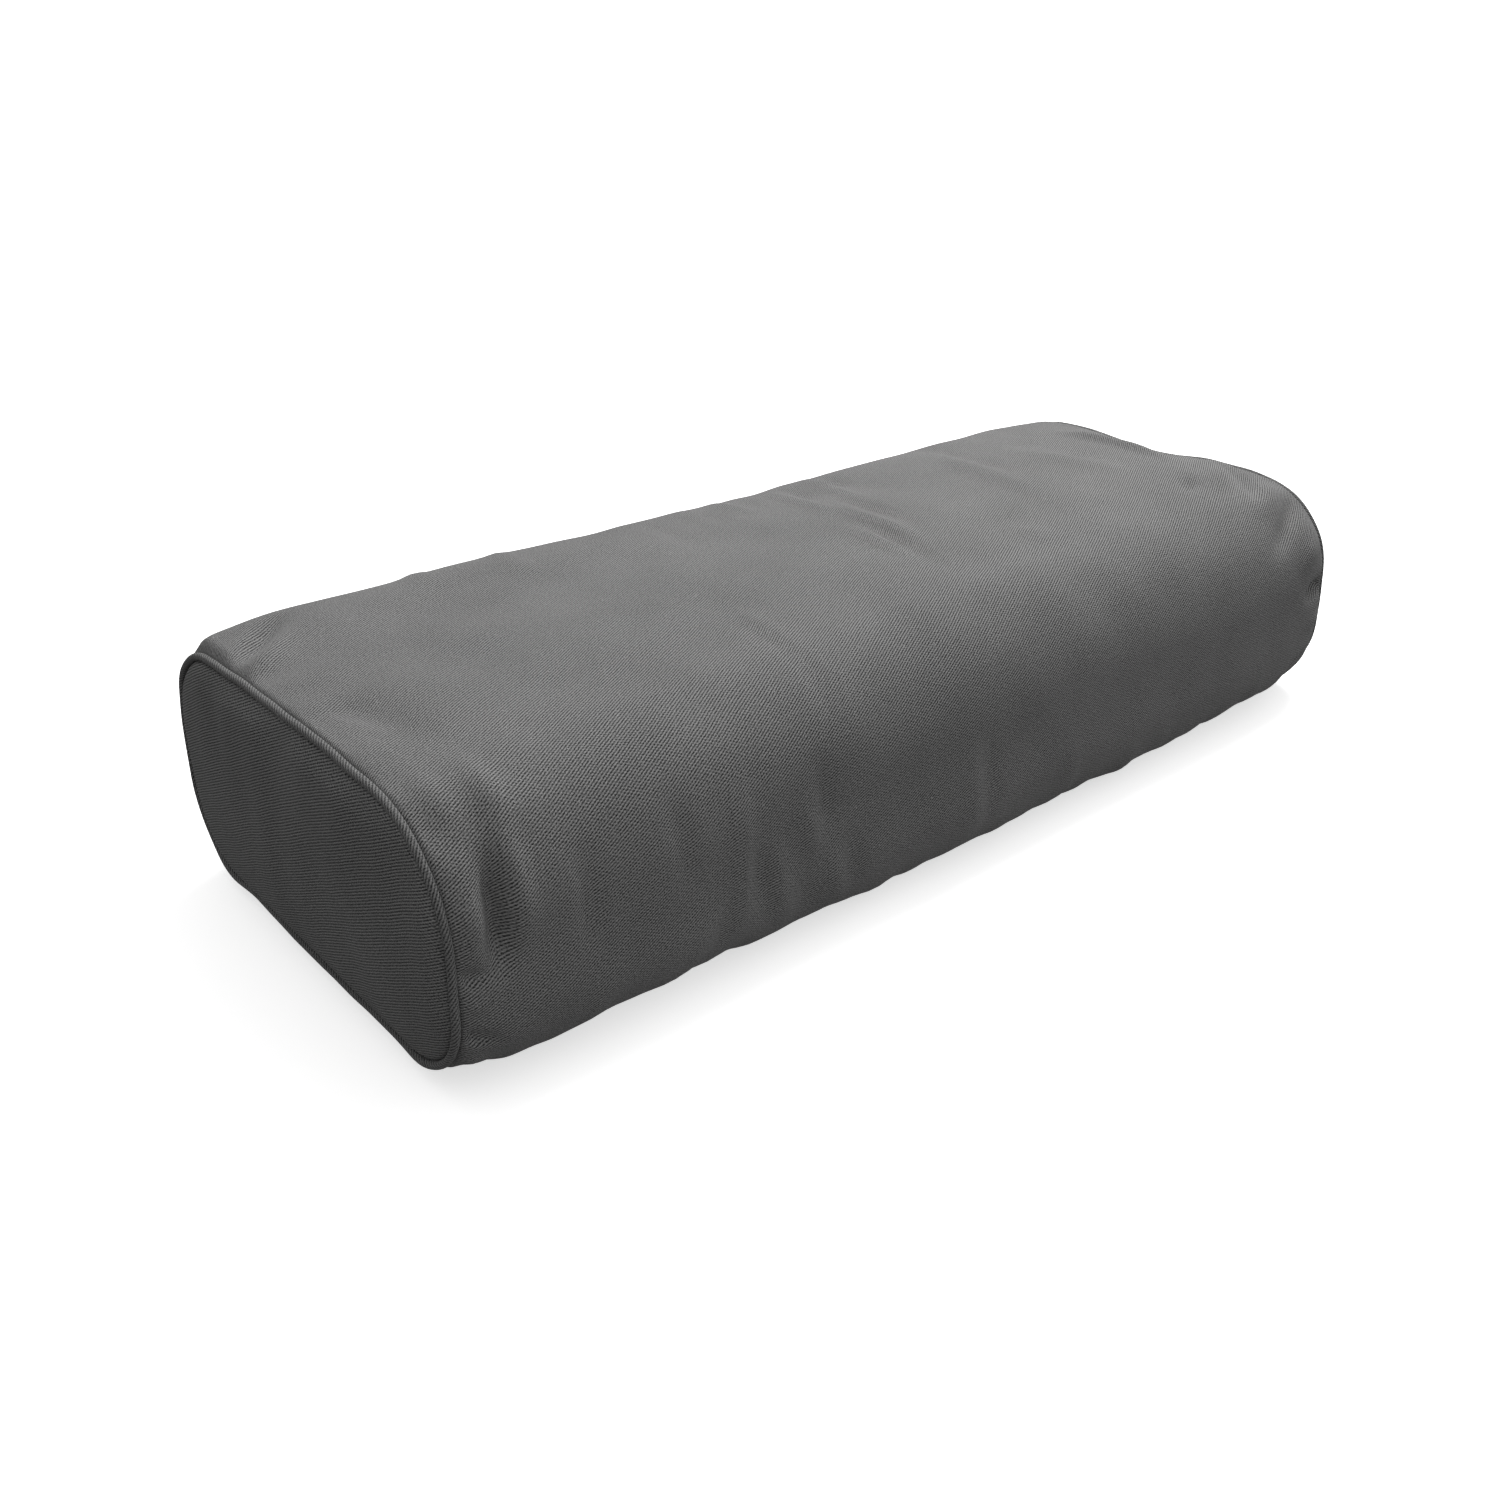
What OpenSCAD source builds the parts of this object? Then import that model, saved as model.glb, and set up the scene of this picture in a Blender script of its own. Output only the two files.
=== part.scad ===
// Rectangular bolster pillow: a piped cotton cover with a zip along its back
// lower edge, round a calico bag that holds a wadded foam core.
// Millimetres. X runs along the bolster, Y across it and Z up. The origin is the
// middle of the face it rests on, and the zip is on the +Y side.

/* [Bolster] */
// Length of the cover from end seam to end seam
body_l = 650; // [500:10:900]
// Width across the bolster
body_w = 300; // [240:5:360]
// Height of the bolster
body_h = 150; // [130:5:180]
// Radius of the upper long edges
top_edge_r = 60; // [50:1:64]
// Radius of the lower long edges
bottom_edge_r = 50; // [46:1:60]
// Radius of the shallow crown of the top
crown_r = 900; // [700:50:2000]

/* [Cover] */
// Thickness of the cover's twill
cloth_t = 1; // [0.6:0.1:1.2]
// Width of the seam margins turned in at the ends
seam_margin = 12; // [8:1:16]
// Outer diameter of the piping round each end
piping_d = 4.8; // [4:0.2:7]
// Thickness of the bias strip that covers the piping cord
strip_t = 0.8; // [0.5:0.1:1]

/* [Zip] */
// Length of the zip's chain
zip_l = 520; // [300:10:560]
// Width of the slot between the cover's two folded edges
slot_w = 11; // [10.5:0.5:14]
// Angle of the zip below the horizontal, in degrees
zip_tilt = 30; // [15:1:40]
// Width of the flat strip that the zip lies in
zip_flat_w = 34; // [32:1:36]
// Length of the pull tab beyond its cross bar
pull_l = 24; // [15:1:30]

/* [Stitches] */
// Diameter of the sewing thread
thread_d = 0.5; // [0.3:0.1:0.8]
// Length of one stitch along the zip
stitch_l = 3; // [2:0.5:4]
// Distance from one stitch to the next
stitch_pitch = 5; // [4.5:0.5:8]

/* [Inner cushion] */
// Thickness of the bag's calico
bag_t = 0.6; // [0.4:0.1:1]
// Thickness of the wadding round the foam core
wadding_t = 22; // [10:1:35]

/* [Hidden] */
$fn = 64;

twill = [0.27, 0.27, 0.28];
twill_dark = [0.20, 0.20, 0.21];
calico = [0.87, 0.83, 0.73];

// Centres of the arcs that round the cross-section
top_y = body_w/2 - top_edge_r;
crown_z = body_h - crown_r;
top_z = crown_z + sqrt(pow(crown_r - top_edge_r, 2) - pow(top_y, 2));
bottom_y = body_w/2 - bottom_edge_r;
bottom_z = bottom_edge_r;
// Half the angle of the crown arc, to where it meets the upper edges
crown_half_angle = asin(top_y/(crown_r - top_edge_r));

// The zip lies in a flat cut across the back lower edge
zip_out = sqrt(pow(bottom_edge_r, 2) - pow(zip_flat_w/2, 2));
zip_y = bottom_y + zip_out*cos(zip_tilt);
zip_z = bottom_z - zip_out*sin(zip_tilt);

// Places along X, for the right-hand end, worked outwards from the seam
seam_x = body_l/2;
piping_x = seam_x + piping_d/2;
flange_t = 2*strip_t;
panel_x = seam_x + flange_t;
piping_inset = piping_d/2 + 0.1;
cord_d = piping_d - 2*strip_t;
panel_inset = piping_inset + piping_d/2 + 0.1;
end_seam_inset = panel_inset + 1;
thread_r = thread_d/2;
thread_knot = 0.3;

// Zip sizes, in the zip's own frame: x along it, y downwards and z outwards
hem_w = 11;
tape_w = 14;
tape_t = 0.6;
tape_gap = 0.6;
tape_z = -2*cloth_t - tape_t;
coil_w = 2.8;
coil_gap = 0.5;
coil_t = 2.1;
coil_z = tape_z + tape_t;
stop_l = 3;
stop_w = 3.2;
stop_wall = 0.5;
stop_h = coil_t + tape_t + 0.3;
topstitch_y = slot_w/2 + 2.5;
slider_l = 12;
slider_w = 9.4;
slider_gap = 0.2;
slider_wall = 0.9;
neck_l = 3.5;
neck_t = 0.7;
plate_t = 1;
plate_z = coil_z + coil_t + slider_gap;
under_plate_z = tape_z - slider_gap - plate_t;
slider_x = zip_l/2 - stop_l - 10;
bar_r = 0.6;
bar_gap = 0.08;
bail_r = 1.5;
bail_w = 1.6;
pivot_z = plate_z + plate_t + 0.9;
pull_w = 4.4;
pull_t = 1.2;
pull_window_w = 2.2;
pull_window_l = 4;

// The inner cushion fills the cover: insets from the cover's outer surface, and
// the depth of its flat behind the zip
bag_inset = cloth_t;
zip_depth = 4.7;
wadding_inset = bag_inset + bag_t;
core_inset = wadding_inset + wadding_t;
bag_x = seam_x - 3;
core_x = bag_x - wadding_t;

// ---- Cross-section, drawn with x across the bolster and y up ----

// The bolster's rounded outline, with everything drawn in by inset
module rounded_outline(inset = 0) {
    for (side = [-1, 1]) {
        translate([side*top_y, top_z]) circle(r = top_edge_r - inset);
        translate([side*bottom_y, bottom_z]) circle(r = bottom_edge_r - inset);
    }
    translate([-body_w/2 + inset, bottom_z]) square([body_w - 2*inset, top_z - bottom_z]);
    translate([-bottom_y, inset]) square([2*bottom_y, bottom_z]);
    intersection() {
        translate([0, crown_z]) circle(r = crown_r - inset);
        crown_w = 2*(top_y + (top_edge_r - inset)*sin(crown_half_angle));
        translate([-crown_w/2, bottom_z]) square([crown_w, body_h]);
    }
}

// The outline with the flat cut for the zip, which lies depth under the cover's surface there
module outline(inset = 0, depth = 0) {
    difference() {
        rounded_outline(inset);
        translate([bottom_y, bottom_z]) rotate(-zip_tilt)
            translate([zip_out - depth, -bottom_edge_r]) square(2*bottom_edge_r);
    }
}

// Stands a cross-section up and draws it along X, from x0 to x1
module along_x(x0, x1) {
    translate([x0, 0, 0]) rotate([90, 0, 90]) linear_extrude(x1 - x0) children();
}

// Puts a part made for the right-hand end at the left one, side -1, or leaves it, side 1
module at_end(side) {
    mirror([side < 0 ? 1 : 0, 0, 0]) children();
}

// Places a part drawn in the zip's own frame
module at_zip(x = 0) {
    translate([x, zip_y, zip_z]) rotate([-90 - zip_tilt, 0, 0]) children();
}

// ---- Cover ----

// Seam margin turned in behind the piping, at the right-hand end
module wrap_margin() {
    along_x(seam_x - cloth_t, seam_x) difference() {
        outline(cloth_t/2, cloth_t/2);
        rounded_outline(seam_margin);
    }
}

module cover_wrap() {
    color(twill) {
        difference() {
            union() {
                difference() {
                    along_x(-seam_x, seam_x) outline();
                    along_x(-seam_x - 1, seam_x + 1) outline(cloth_t, cloth_t);
                }
                for (side = [-1, 1]) at_end(side) wrap_margin();
                // Folded edges along the zip
                for (side = [-1, 1]) at_zip()
                    translate([-zip_l/2 - hem_w, side > 0 ? slot_w/2 : -slot_w/2 - hem_w, -2*cloth_t])
                        cube([zip_l + 2*hem_w, hem_w, 1.5*cloth_t]);
            }
            at_zip() translate([-zip_l/2, -slot_w/2, -10]) cube([zip_l, slot_w, 20]);
        }
    }
}

module end_panel(side) {
    color(twill_dark) at_end(side)
        along_x(panel_x, panel_x + cloth_t) rounded_outline(panel_inset);
}

// A flat ring that follows the outline, between two insets from it
module ring(x0, x1, outer_inset, inner_inset) {
    along_x(x0, x1) difference() {
        rounded_outline(outer_inset);
        rounded_outline(inner_inset);
    }
}

// A square cord that follows the outline, with its centre at x
module edge_cord(w, inset, x) {
    ring(x - w/2, x + w/2, inset - w/2, inset + w/2);
}

// Bias strip folded round the cord, with its two edges held in the end seam
module piping(side) {
    color(twill) at_end(side) difference() {
        union() {
            edge_cord(piping_d, piping_inset, piping_x);
            ring(seam_x, panel_x, piping_inset, seam_margin);
        }
        edge_cord(cord_d, piping_inset, piping_x);
    }
}

module piping_cord(side) {
    color("ivory") at_end(side) edge_cord(cord_d, piping_inset, piping_x);
}

// One stitch through the wrap's margin, the piping's flange and the end panel
module end_stitch(y, z) {
    translate([seam_x - cloth_t - thread_knot, y, z]) rotate([0, 90, 0])
        cylinder(r = thread_r, h = flange_t + 1.5*cloth_t + thread_knot, $fn = 16);
}

// Stitches along a straight stretch from one [y, z] to another
module straight_stitches(from, to) {
    count = round(norm(to - from)/stitch_pitch);
    for (i = [0:count - 1]) {
        place = from + (to - from)*(i + 0.5)/count;
        end_stitch(place[0], place[1]);
    }
}

// Stitches round an arc centred at y, z
module arc_stitches(r, y, z, start, turn) {
    count = round(r*turn*PI/180/stitch_pitch);
    for (i = [0:count - 1]) {
        angle = start + turn*(i + 0.5)/count;
        end_stitch(y + r*cos(angle), z + r*sin(angle));
    }
}

module end_seam(side) {
    inset = end_seam_inset;
    side_y = body_w/2 - inset;
    color("dimgray") at_end(side) for (half = [-1, 1]) mirror([0, half < 0 ? 1 : 0, 0]) {
        straight_stitches([0, inset], [bottom_y, inset]);
        arc_stitches(bottom_edge_r - inset, bottom_y, bottom_z, -90, 90);
        straight_stitches([side_y, bottom_z], [side_y, top_z]);
        arc_stitches(top_edge_r - inset, top_y, top_z, 0, 90 - crown_half_angle);
        arc_stitches(crown_r - inset, 0, crown_z, 90 - crown_half_angle, crown_half_angle);
    }
}

// ---- Zip, side -1 above the chain and 1 below it ----

module zip_tape(side) {
    color([0.16, 0.16, 0.17]) at_zip()
        translate([-zip_l/2 - hem_w + 1, side > 0 ? tape_gap : -tape_gap - tape_w, tape_z])
            cube([zip_l + 2*hem_w - 2, tape_w, tape_t]);
}

// One side of the chain, as a plain rail with rounded outer corners
module zip_coil(side) {
    color([0.13, 0.13, 0.14]) at_zip() mirror([0, side < 0 ? 1 : 0, 0])
        translate([-zip_l/2 + stop_l + 0.5, 0, coil_z]) rotate([90, 0, 90])
            linear_extrude(zip_l - 2*stop_l - 1) {
                translate([coil_gap, 0]) square([coil_w, coil_t/2]);
                for (y = [coil_gap + coil_t/2, coil_gap + coil_w - coil_t/2])
                    translate([y, coil_t/2]) circle(r = coil_t/2);
                translate([coil_gap + coil_t/2, 0]) square([coil_w - coil_t, coil_t]);
            }
}

// Metal clip that grips one tape's edge past the end of the chain
module stop_clip() {
    difference() {
        translate([-stop_l/2, 0.15, tape_z - stop_wall]) cube([stop_l, stop_w, stop_h]);
        translate([-stop_l, tape_gap - 0.05, tape_z]) cube([2*stop_l, stop_w, tape_t]);
    }
}

module zip_top_stops() {
    color("silver") for (side = [-1, 1]) at_zip(zip_l/2 - stop_l/2)
        mirror([0, side < 0 ? 1 : 0, 0]) stop_clip();
}

// One clip across both tapes, where the chain begins
module zip_bottom_stop() {
    color("silver") at_zip(-zip_l/2 + stop_l/2) {
        for (side = [-1, 1]) mirror([0, side < 0 ? 1 : 0, 0]) stop_clip();
        translate([-stop_l/2, -0.4, tape_z - stop_wall]) cube([stop_l, 0.8, stop_h]);
    }
}

// A slider plate, narrower towards the closed chain
module slider_plate() {
    back_r = 1;
    front_r = 1.5;
    hull() for (side = [-1, 1]) {
        translate([-slider_l/2 + back_r, side*(slider_w/2 - back_r - 0.6), 0])
            cylinder(r = back_r, h = plate_t, $fn = 32);
        translate([slider_l/2 - front_r, side*(slider_w/2 - front_r), 0])
            cylinder(r = front_r, h = plate_t, $fn = 32);
    }
}

module zip_slider() {
    color("silver") at_zip(slider_x) difference() {
        union() {
            for (z = [under_plate_z, plate_z]) translate([0, 0, z]) slider_plate();
            // Neck that joins the two plates between the chain's sides
            translate([slider_l/2 - neck_l - 0.5, -neck_t/2, under_plate_z + plate_t/2])
                cube([neck_l, neck_t, plate_z - under_plate_z]);
            // Walls that guide the outside of each row of teeth
            for (side = [-1, 1])
                translate([-slider_l/2 + 1.5, side*(slider_w/2 - 0.65) - slider_wall/2, coil_z + slider_gap])
                    cube([slider_l - 3, slider_wall, coil_t + plate_t/2]);
            // Bail that carries the pull
            translate([0, bail_w/2, pivot_z]) rotate([90, 0, 0]) cylinder(r = bail_r, h = bail_w);
            translate([-bail_r, -bail_w/2, plate_z + plate_t/2])
                cube([2*bail_r, bail_w, pivot_z - plate_z - plate_t/2]);
        }
        translate([0, bail_w, pivot_z]) rotate([90, 0, 0]) cylinder(r = bar_r + bar_gap, h = 2*bail_w);
    }
}

// Flat tab with a window whose cross bar turns in the slider's bail
module zip_pull() {
    color("silver") at_zip(slider_x) translate([0, 0, pivot_z]) {
        translate([0, pull_w/2, 0]) rotate([90, 0, 0]) cylinder(r = bar_r, h = pull_w);
        difference() {
            translate([0, 0, -pull_t/2]) linear_extrude(pull_t) {
                translate([-pull_l + pull_w/2, -pull_w/2]) square([pull_l - pull_w/2, pull_w]);
                translate([-pull_l + pull_w/2, 0]) circle(r = pull_w/2);
            }
            translate([-pull_window_l, -pull_window_w/2, -pull_t])
                cube([pull_window_l + 1, pull_window_w, 2*pull_t]);
            // Hole at the tab's free end
            translate([-pull_l + pull_w/2 + 0.5, 0, -pull_t]) cylinder(r = 0.9, h = 2*pull_t);
        }
    }
}

// Row of stitches that holds the folded edge and the tape together
module topstitch(side) {
    count = floor((zip_l + hem_w)/stitch_pitch);
    color("dimgray") for (i = [0:count - 1])
        at_zip((i - (count - 1)/2)*stitch_pitch)
            translate([-stitch_l/2, side*topstitch_y, 0.1]) rotate([0, 90, 0])
                cylinder(r = thread_r, h = stitch_l, $fn = 16);
}

// ---- Inner cushion ----

module bag_wrap() {
    color(calico) along_x(-bag_x, bag_x) difference() {
        outline(bag_inset, zip_depth);
        outline(wadding_inset, zip_depth + bag_t);
    }
}

module bag_end(side) {
    color(calico) at_end(side) along_x(bag_x, bag_x + bag_t) outline(bag_inset, zip_depth);
}

module wadding_wrap() {
    color("whitesmoke") along_x(-bag_x, bag_x) difference() {
        outline(wadding_inset, zip_depth + bag_t);
        rounded_outline(core_inset);
    }
}

module wadding_end(side) {
    color("whitesmoke") at_end(side) along_x(core_x, bag_x) rounded_outline(core_inset);
}

module foam_core() {
    color([0.86, 0.83, 0.62]) along_x(-core_x, core_x) rounded_outline(core_inset);
}

cover_wrap();
end_panel(-1);  // end_panel_left
end_panel(1);  // end_panel_right
piping(-1);  // piping_left
piping(1);  // piping_right
piping_cord(-1);  // piping_cord_left
piping_cord(1);  // piping_cord_right
end_seam(-1);  // end_seam_left
end_seam(1);  // end_seam_right
zip_tape(-1);  // zip_tape_upper
zip_tape(1);  // zip_tape_lower
zip_coil(-1);  // zip_coil_upper
zip_coil(1);  // zip_coil_lower
zip_top_stops();
zip_bottom_stop();
zip_slider();
zip_pull();
topstitch(-1);  // topstitch_upper
topstitch(1);  // topstitch_lower
bag_wrap();
bag_end(-1);  // bag_end_left
bag_end(1);  // bag_end_right
wadding_wrap();
wadding_end(-1);  // wadding_end_left
wadding_end(1);  // wadding_end_right
foam_core();
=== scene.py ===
"""A rectangular bolster pillow: twill cover with piped ends and a zip, round a wadded foam cushion.

Metres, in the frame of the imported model: X along the bolster, Y across it to the zip, Z up.
Each sub-assembly is a class that builds its pieces and dresses them.
"""

import logging
import math
from collections.abc import Callable, Sequence
from dataclasses import dataclass, field
from enum import Enum

import bmesh
import bpy
import numpy as np
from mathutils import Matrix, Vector


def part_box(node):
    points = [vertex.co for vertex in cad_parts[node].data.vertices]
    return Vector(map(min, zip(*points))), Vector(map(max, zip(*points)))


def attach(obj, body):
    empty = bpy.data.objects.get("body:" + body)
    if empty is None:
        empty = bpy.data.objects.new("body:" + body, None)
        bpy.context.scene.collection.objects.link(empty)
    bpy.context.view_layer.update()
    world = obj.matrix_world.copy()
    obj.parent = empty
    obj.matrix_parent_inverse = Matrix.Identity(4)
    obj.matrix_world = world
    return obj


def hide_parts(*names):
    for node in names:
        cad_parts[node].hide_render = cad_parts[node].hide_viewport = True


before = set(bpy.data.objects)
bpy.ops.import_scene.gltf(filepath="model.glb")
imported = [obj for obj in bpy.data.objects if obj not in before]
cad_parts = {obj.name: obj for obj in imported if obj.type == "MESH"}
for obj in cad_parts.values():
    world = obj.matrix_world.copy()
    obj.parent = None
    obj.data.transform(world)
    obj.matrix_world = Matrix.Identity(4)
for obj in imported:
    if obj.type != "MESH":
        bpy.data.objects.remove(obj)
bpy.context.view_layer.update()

log = logging.getLogger("bolster")
MM = 0.001
MERGED = 0.002 * MM
Array = np.ndarray
Points = tuple[Array, Array, Array]
Place = Callable[[Array, Array], Points]
Chart = Callable[[Array, Array], tuple[Array, Array]]
Colour = tuple[float, float, float]
Socket = bpy.types.NodeSocket


class End(Enum):
    """The two ends of the bolster, with the side of X that each is on."""

    LEFT = -1
    RIGHT = 1

    @property
    def word(self) -> str:
        """The end's name in lower case."""
        return self.name.lower()


class ZipSide(Enum):
    """The two sides of the zip's chain, with the side of the zip's own y that each is on."""

    UPPER = -1
    LOWER = 1

    @property
    def word(self) -> str:
        """The side's name in lower case."""
        return self.name.lower()


# ---- The bolster's shape ----


def smooth_step(value: Array, start: float, end: float) -> Array:
    """Rises smoothly from 0 at start to 1 at end."""
    share = np.clip((value - start) / (end - start), 0, 1)
    return share * share * (3 - 2 * share)


def soft_noise(x: Array, y: Array, shortest: float, longest: float, seed: int, count: int = 14) -> Array:
    """A smooth random field made of waves that run in all directions.

    Args:
        x, y: Where to evaluate it.
        shortest, longest: The range of the waves' lengths.
        seed: Which field of the endless number of them.
        count: How many waves.

    Returns:
        Values that are mostly between -1.5 and 1.5.
    """
    rng = np.random.default_rng(seed)
    total = np.zeros(np.broadcast(x, y).shape)
    for _ in range(count):
        length = rng.uniform(shortest, longest)
        turn, phase = rng.uniform(0, math.tau), rng.uniform(0, math.tau)
        total += np.cos(math.tau * (x * math.cos(turn) + y * math.sin(turn)) / length + phase)
    return total / math.sqrt(count)


@dataclass
class Outline:
    """The bolster's cross-section, a closed curve of arcs joined by straight lines.

    A place on it is its distance round from the middle of the top, positive towards the front (-Y).
    The curve starts and ends at the middle of the zip.
    """

    width: float
    height: float
    top_radius: float = 60 * MM
    bottom_radius: float = 50 * MM
    crown_radius: float = 900 * MM
    zip_tilt: float = math.radians(30)
    zip_flat: float = 34 * MM
    arc_points: int = 240

    def __post_init__(self) -> None:
        """Walks the arcs and keeps the curve's points, normals and distances round."""
        top_y, bottom_y = self.width / 2 - self.top_radius, self.width / 2 - self.bottom_radius
        crown_z = self.height - self.crown_radius
        crown_arm = self.crown_radius - self.top_radius
        half_crown = math.asin(top_y / crown_arm)
        top_z = crown_z + math.sqrt(crown_arm**2 - top_y**2)
        up, down = math.pi / 2, 3 * math.pi / 2
        arcs = (
            (bottom_y, self.bottom_radius, self.bottom_radius, -self.zip_tilt, 0),
            (top_y, top_z, self.top_radius, 0, up - half_crown),
            (0, crown_z, self.crown_radius, up - half_crown, up + half_crown),
            (-top_y, top_z, self.top_radius, up + half_crown, math.pi),
            (-bottom_y, self.bottom_radius, self.bottom_radius, math.pi, down),
            (bottom_y, self.bottom_radius, self.bottom_radius, down, math.tau - self.zip_tilt),
        )
        points, normals = [], []
        for y, z, radius, first, last in arcs:
            turn = np.linspace(first, last, self.arc_points)
            normal = np.stack([np.cos(turn), np.sin(turn)], axis=1)
            points.append(np.array([y, z]) + radius * normal)
            normals.append(normal)
        self.points, self.normals = np.concatenate(points), np.concatenate(normals)
        steps = np.linalg.norm(np.diff(self.points, axis=0), axis=1)
        self.round = np.concatenate([[0], np.cumsum(steps)])
        self.round -= self.round[int(2.5 * self.arc_points)]
        # The zip's flat, a shallow cut across the lower back edge
        self.zip_out = np.array([math.cos(self.zip_tilt), -math.sin(self.zip_tilt)])
        flat_depth = math.sqrt(self.bottom_radius**2 - (self.zip_flat / 2) ** 2)
        self.zip_middle = np.array([bottom_y, self.bottom_radius]) + flat_depth * self.zip_out
        proud = np.maximum((self.points - self.zip_middle) @ self.zip_out, 0)
        self.cut_points = self.points - proud[:, None] * self.zip_out
        share = smooth_step(proud, 0, 0.4 * MM)[:, None]
        self.cut_normals = self.normals * (1 - share) + self.zip_out * share

    @property
    def first(self) -> float:
        """The distance round of the zip's middle, from its upper side."""
        return float(self.round[0])

    @property
    def last(self) -> float:
        """The distance round of the zip's middle, from its lower side."""
        return float(self.round[-1])

    def at(self, around: Array, cut: Array) -> tuple[Array, Array, Array, Array]:
        """The curve's points and outward normals.

        Args:
            around: Distances round.
            cut: 1 where the zip's flat is cut, 0 where the edge is round.

        Returns:
            y, z of the points, and y, z of the normals.
        """
        found = []
        for plain, flat in ((self.points, self.cut_points), (self.normals, self.cut_normals)):
            for axis in (0, 1):
                whole = np.interp(around, self.round, plain[:, axis])
                found.append(whole + cut * (np.interp(around, self.round, flat[:, axis]) - whole))
        return tuple(found)


@dataclass(frozen=True)
class Fold:
    """A soft ridge in the cloth, or a hollow where its height is negative.

    It runs between two places (x, distance round) on the cover.
    """

    start: tuple[float, float]
    end: tuple[float, float]
    width: float
    height: float

    def relief(self, x: Array, around: Array) -> Array:
        """How far the fold lifts the cloth at each place."""
        run_x, run_a = self.end[0] - self.start[0], self.end[1] - self.start[1]
        length = math.hypot(run_x, run_a)
        along = ((x - self.start[0]) * run_x + (around - self.start[1]) * run_a) / length
        across = ((x - self.start[0]) * run_a - (around - self.start[1]) * run_x) / length
        fade = length / 3 + self.width
        ends = smooth_step(along, -self.width, fade) * smooth_step(length - along, -self.width, fade)
        return self.height * ends * np.exp(-((across / self.width) ** 2))


def folds(width: float, height: float, *lines: tuple[float, float, float, float]) -> list[Fold]:
    """Folds of one width and height along lines from (x, round) to (x, round), all in millimetres."""
    return [Fold((x0 * MM, a0 * MM), (x1 * MM, a1 * MM), width * MM, height * MM) for x0, a0, x1, a1 in lines]


COVER_FOLDS = (
    # Deep crease beside the left seam, low on the front, with the roll of cloth outside it
    folds(5.5, -6.0, (-301, 140, -306, 206))
    + folds(6, 1.4, (-316, 150, -318, 200), (-292, 122, -293, 196))
    + folds(4, -2.6, (-334, 197, -307, 201), (-334, 228, -306, 236))
    + folds(5, 1.4, (-334, 212, -308, 216), (-334, 246, -306, 256))
    + folds(7, 1.2, (-312, 82, -309, 140), (-289, 92, -289, 142))
    # Upright drapes on the lower front
    + folds(4.5, 1.5, (-176, 152, -178, 235), (-160, 185, -148, 250))
    + folds(4.5, 1.5, (-138, 180, -129, 216), (-118, 212, -112, 258))
    + folds(4.5, -1.5, (-168, 190, -162, 240), (-182, 208, -192, 250))
    + folds(4.5, -1.5, (-126, 158, -121, 205), (-212, 148, -208, 205))
    + folds(5, -1.4, (-139, 218, -134, 250), (-108, 205, -104, 245))
    + folds(5, -1.4, (-10, 178, -6, 248), (-260, 150, -262, 212))
    + folds(5, 0.8, (-200, 225, -208, 262), (-252, 222, -262, 255), (-20, 190, -18, 250), (60, 205, 66, 262))
    + folds(5, 0.8, (150, 230, 160, 268), (245, 215, 252, 262), (118, 232, 128, 268))
    # Long shallow lines over the top and down the front
    + folds(4, -0.9, (-107, 34, -110, 165))
    + folds(4, 0.7, (-100, 48, -104, 100))
    + folds(6, -0.9, (-50, -112, -60, -30), (15, -116, 17, -66), (-16, -98, -22, -50), (190, -112, 186, 0))
    + folds(6, 1.1, (-18, -112, -27, -48), (5, -116, 9, -66))
    + folds(6, 1.1, (-148, -118, -156, -60), (-200, -118, -206, -80))
    # Drapes that meet on the top, right of the middle
    + folds(4.5, 1.5, (88, -118, 70, -34), (47, -112, 40, -20), (52, -52, 45, 56), (30, -6, 27, 58))
    + folds(4.5, -1.5, (62, -98, 54, -60), (67, -62, 60, 26), (41, -14, 28, 84), (96, -104, 88, -64))
    + folds(9, 1.1, (184, -106, 158, 66), (222, -66, 246, 50))
    + folds(9, 0.9, (104, 52, 112, 84))
    # Right shoulder: the cloth drags to the end seam
    + folds(6, 2.8, (287, -70, 290, 44), (308, 62, 262, 96))
    + folds(6, -3.0, (303, -64, 307, 40), (320, 64, 276, 118), (272, 66, 246, 84))
    + folds(8, 2.4, (316, 104, 266, 124), (318, 150, 290, 172))
    + folds(7, -3.4, (324, 118, 262, 154))
    + folds(5, -5.0, (326, 187, 296, 190))
    + folds(6, 1.8, (322, 208, 296, 214))
    + folds(5, -2.0, (318, 236, 290, 246))
    # Left shoulder, at the back of the top
    + folds(7, -3.2, (-326, -58, -280, -98))
    + folds(6, 1.6, (-326, -42, -286, -76))
    # The back, where the cloth drags a little to the ends of the zip
    + folds(6, 1.4, (-276, -196, -244, -166), (272, -200, 236, -170), (-240, -206, -196, -188))
    + folds(6, -1.5, (-268, -182, -240, -150), (262, -186, 234, -150), (-226, -176, -208, -140))
    + folds(6, -1.0, (-120, -158, -116, -205), (40, -150, 44, -208), (168, -146, 164, -196))
    + folds(6, 0.9, (-104, -150, -100, -200), (58, -150, 60, -204), (-12, -160, -16, -206))
)


BODY_SWELLS = (
    # The top's long back edge stands high on the left, and the front's lower edge sags on the right
    folds(36, 6.0, (-420, -100, -40, -92))
    + folds(34, 4.5, (-230, 262, 330, 262))
    # The top dips towards the middle of the right seam
    + folds(24, -3.0, (345, 0, 296, 0))
    # A hollow along the left seam on the front of the top, and the swelling below it
    + folds(14, -4.6, (-308, 0, -294, 84))
    + folds(13, 2.8, (-302, 106, -276, 136))
)


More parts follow.
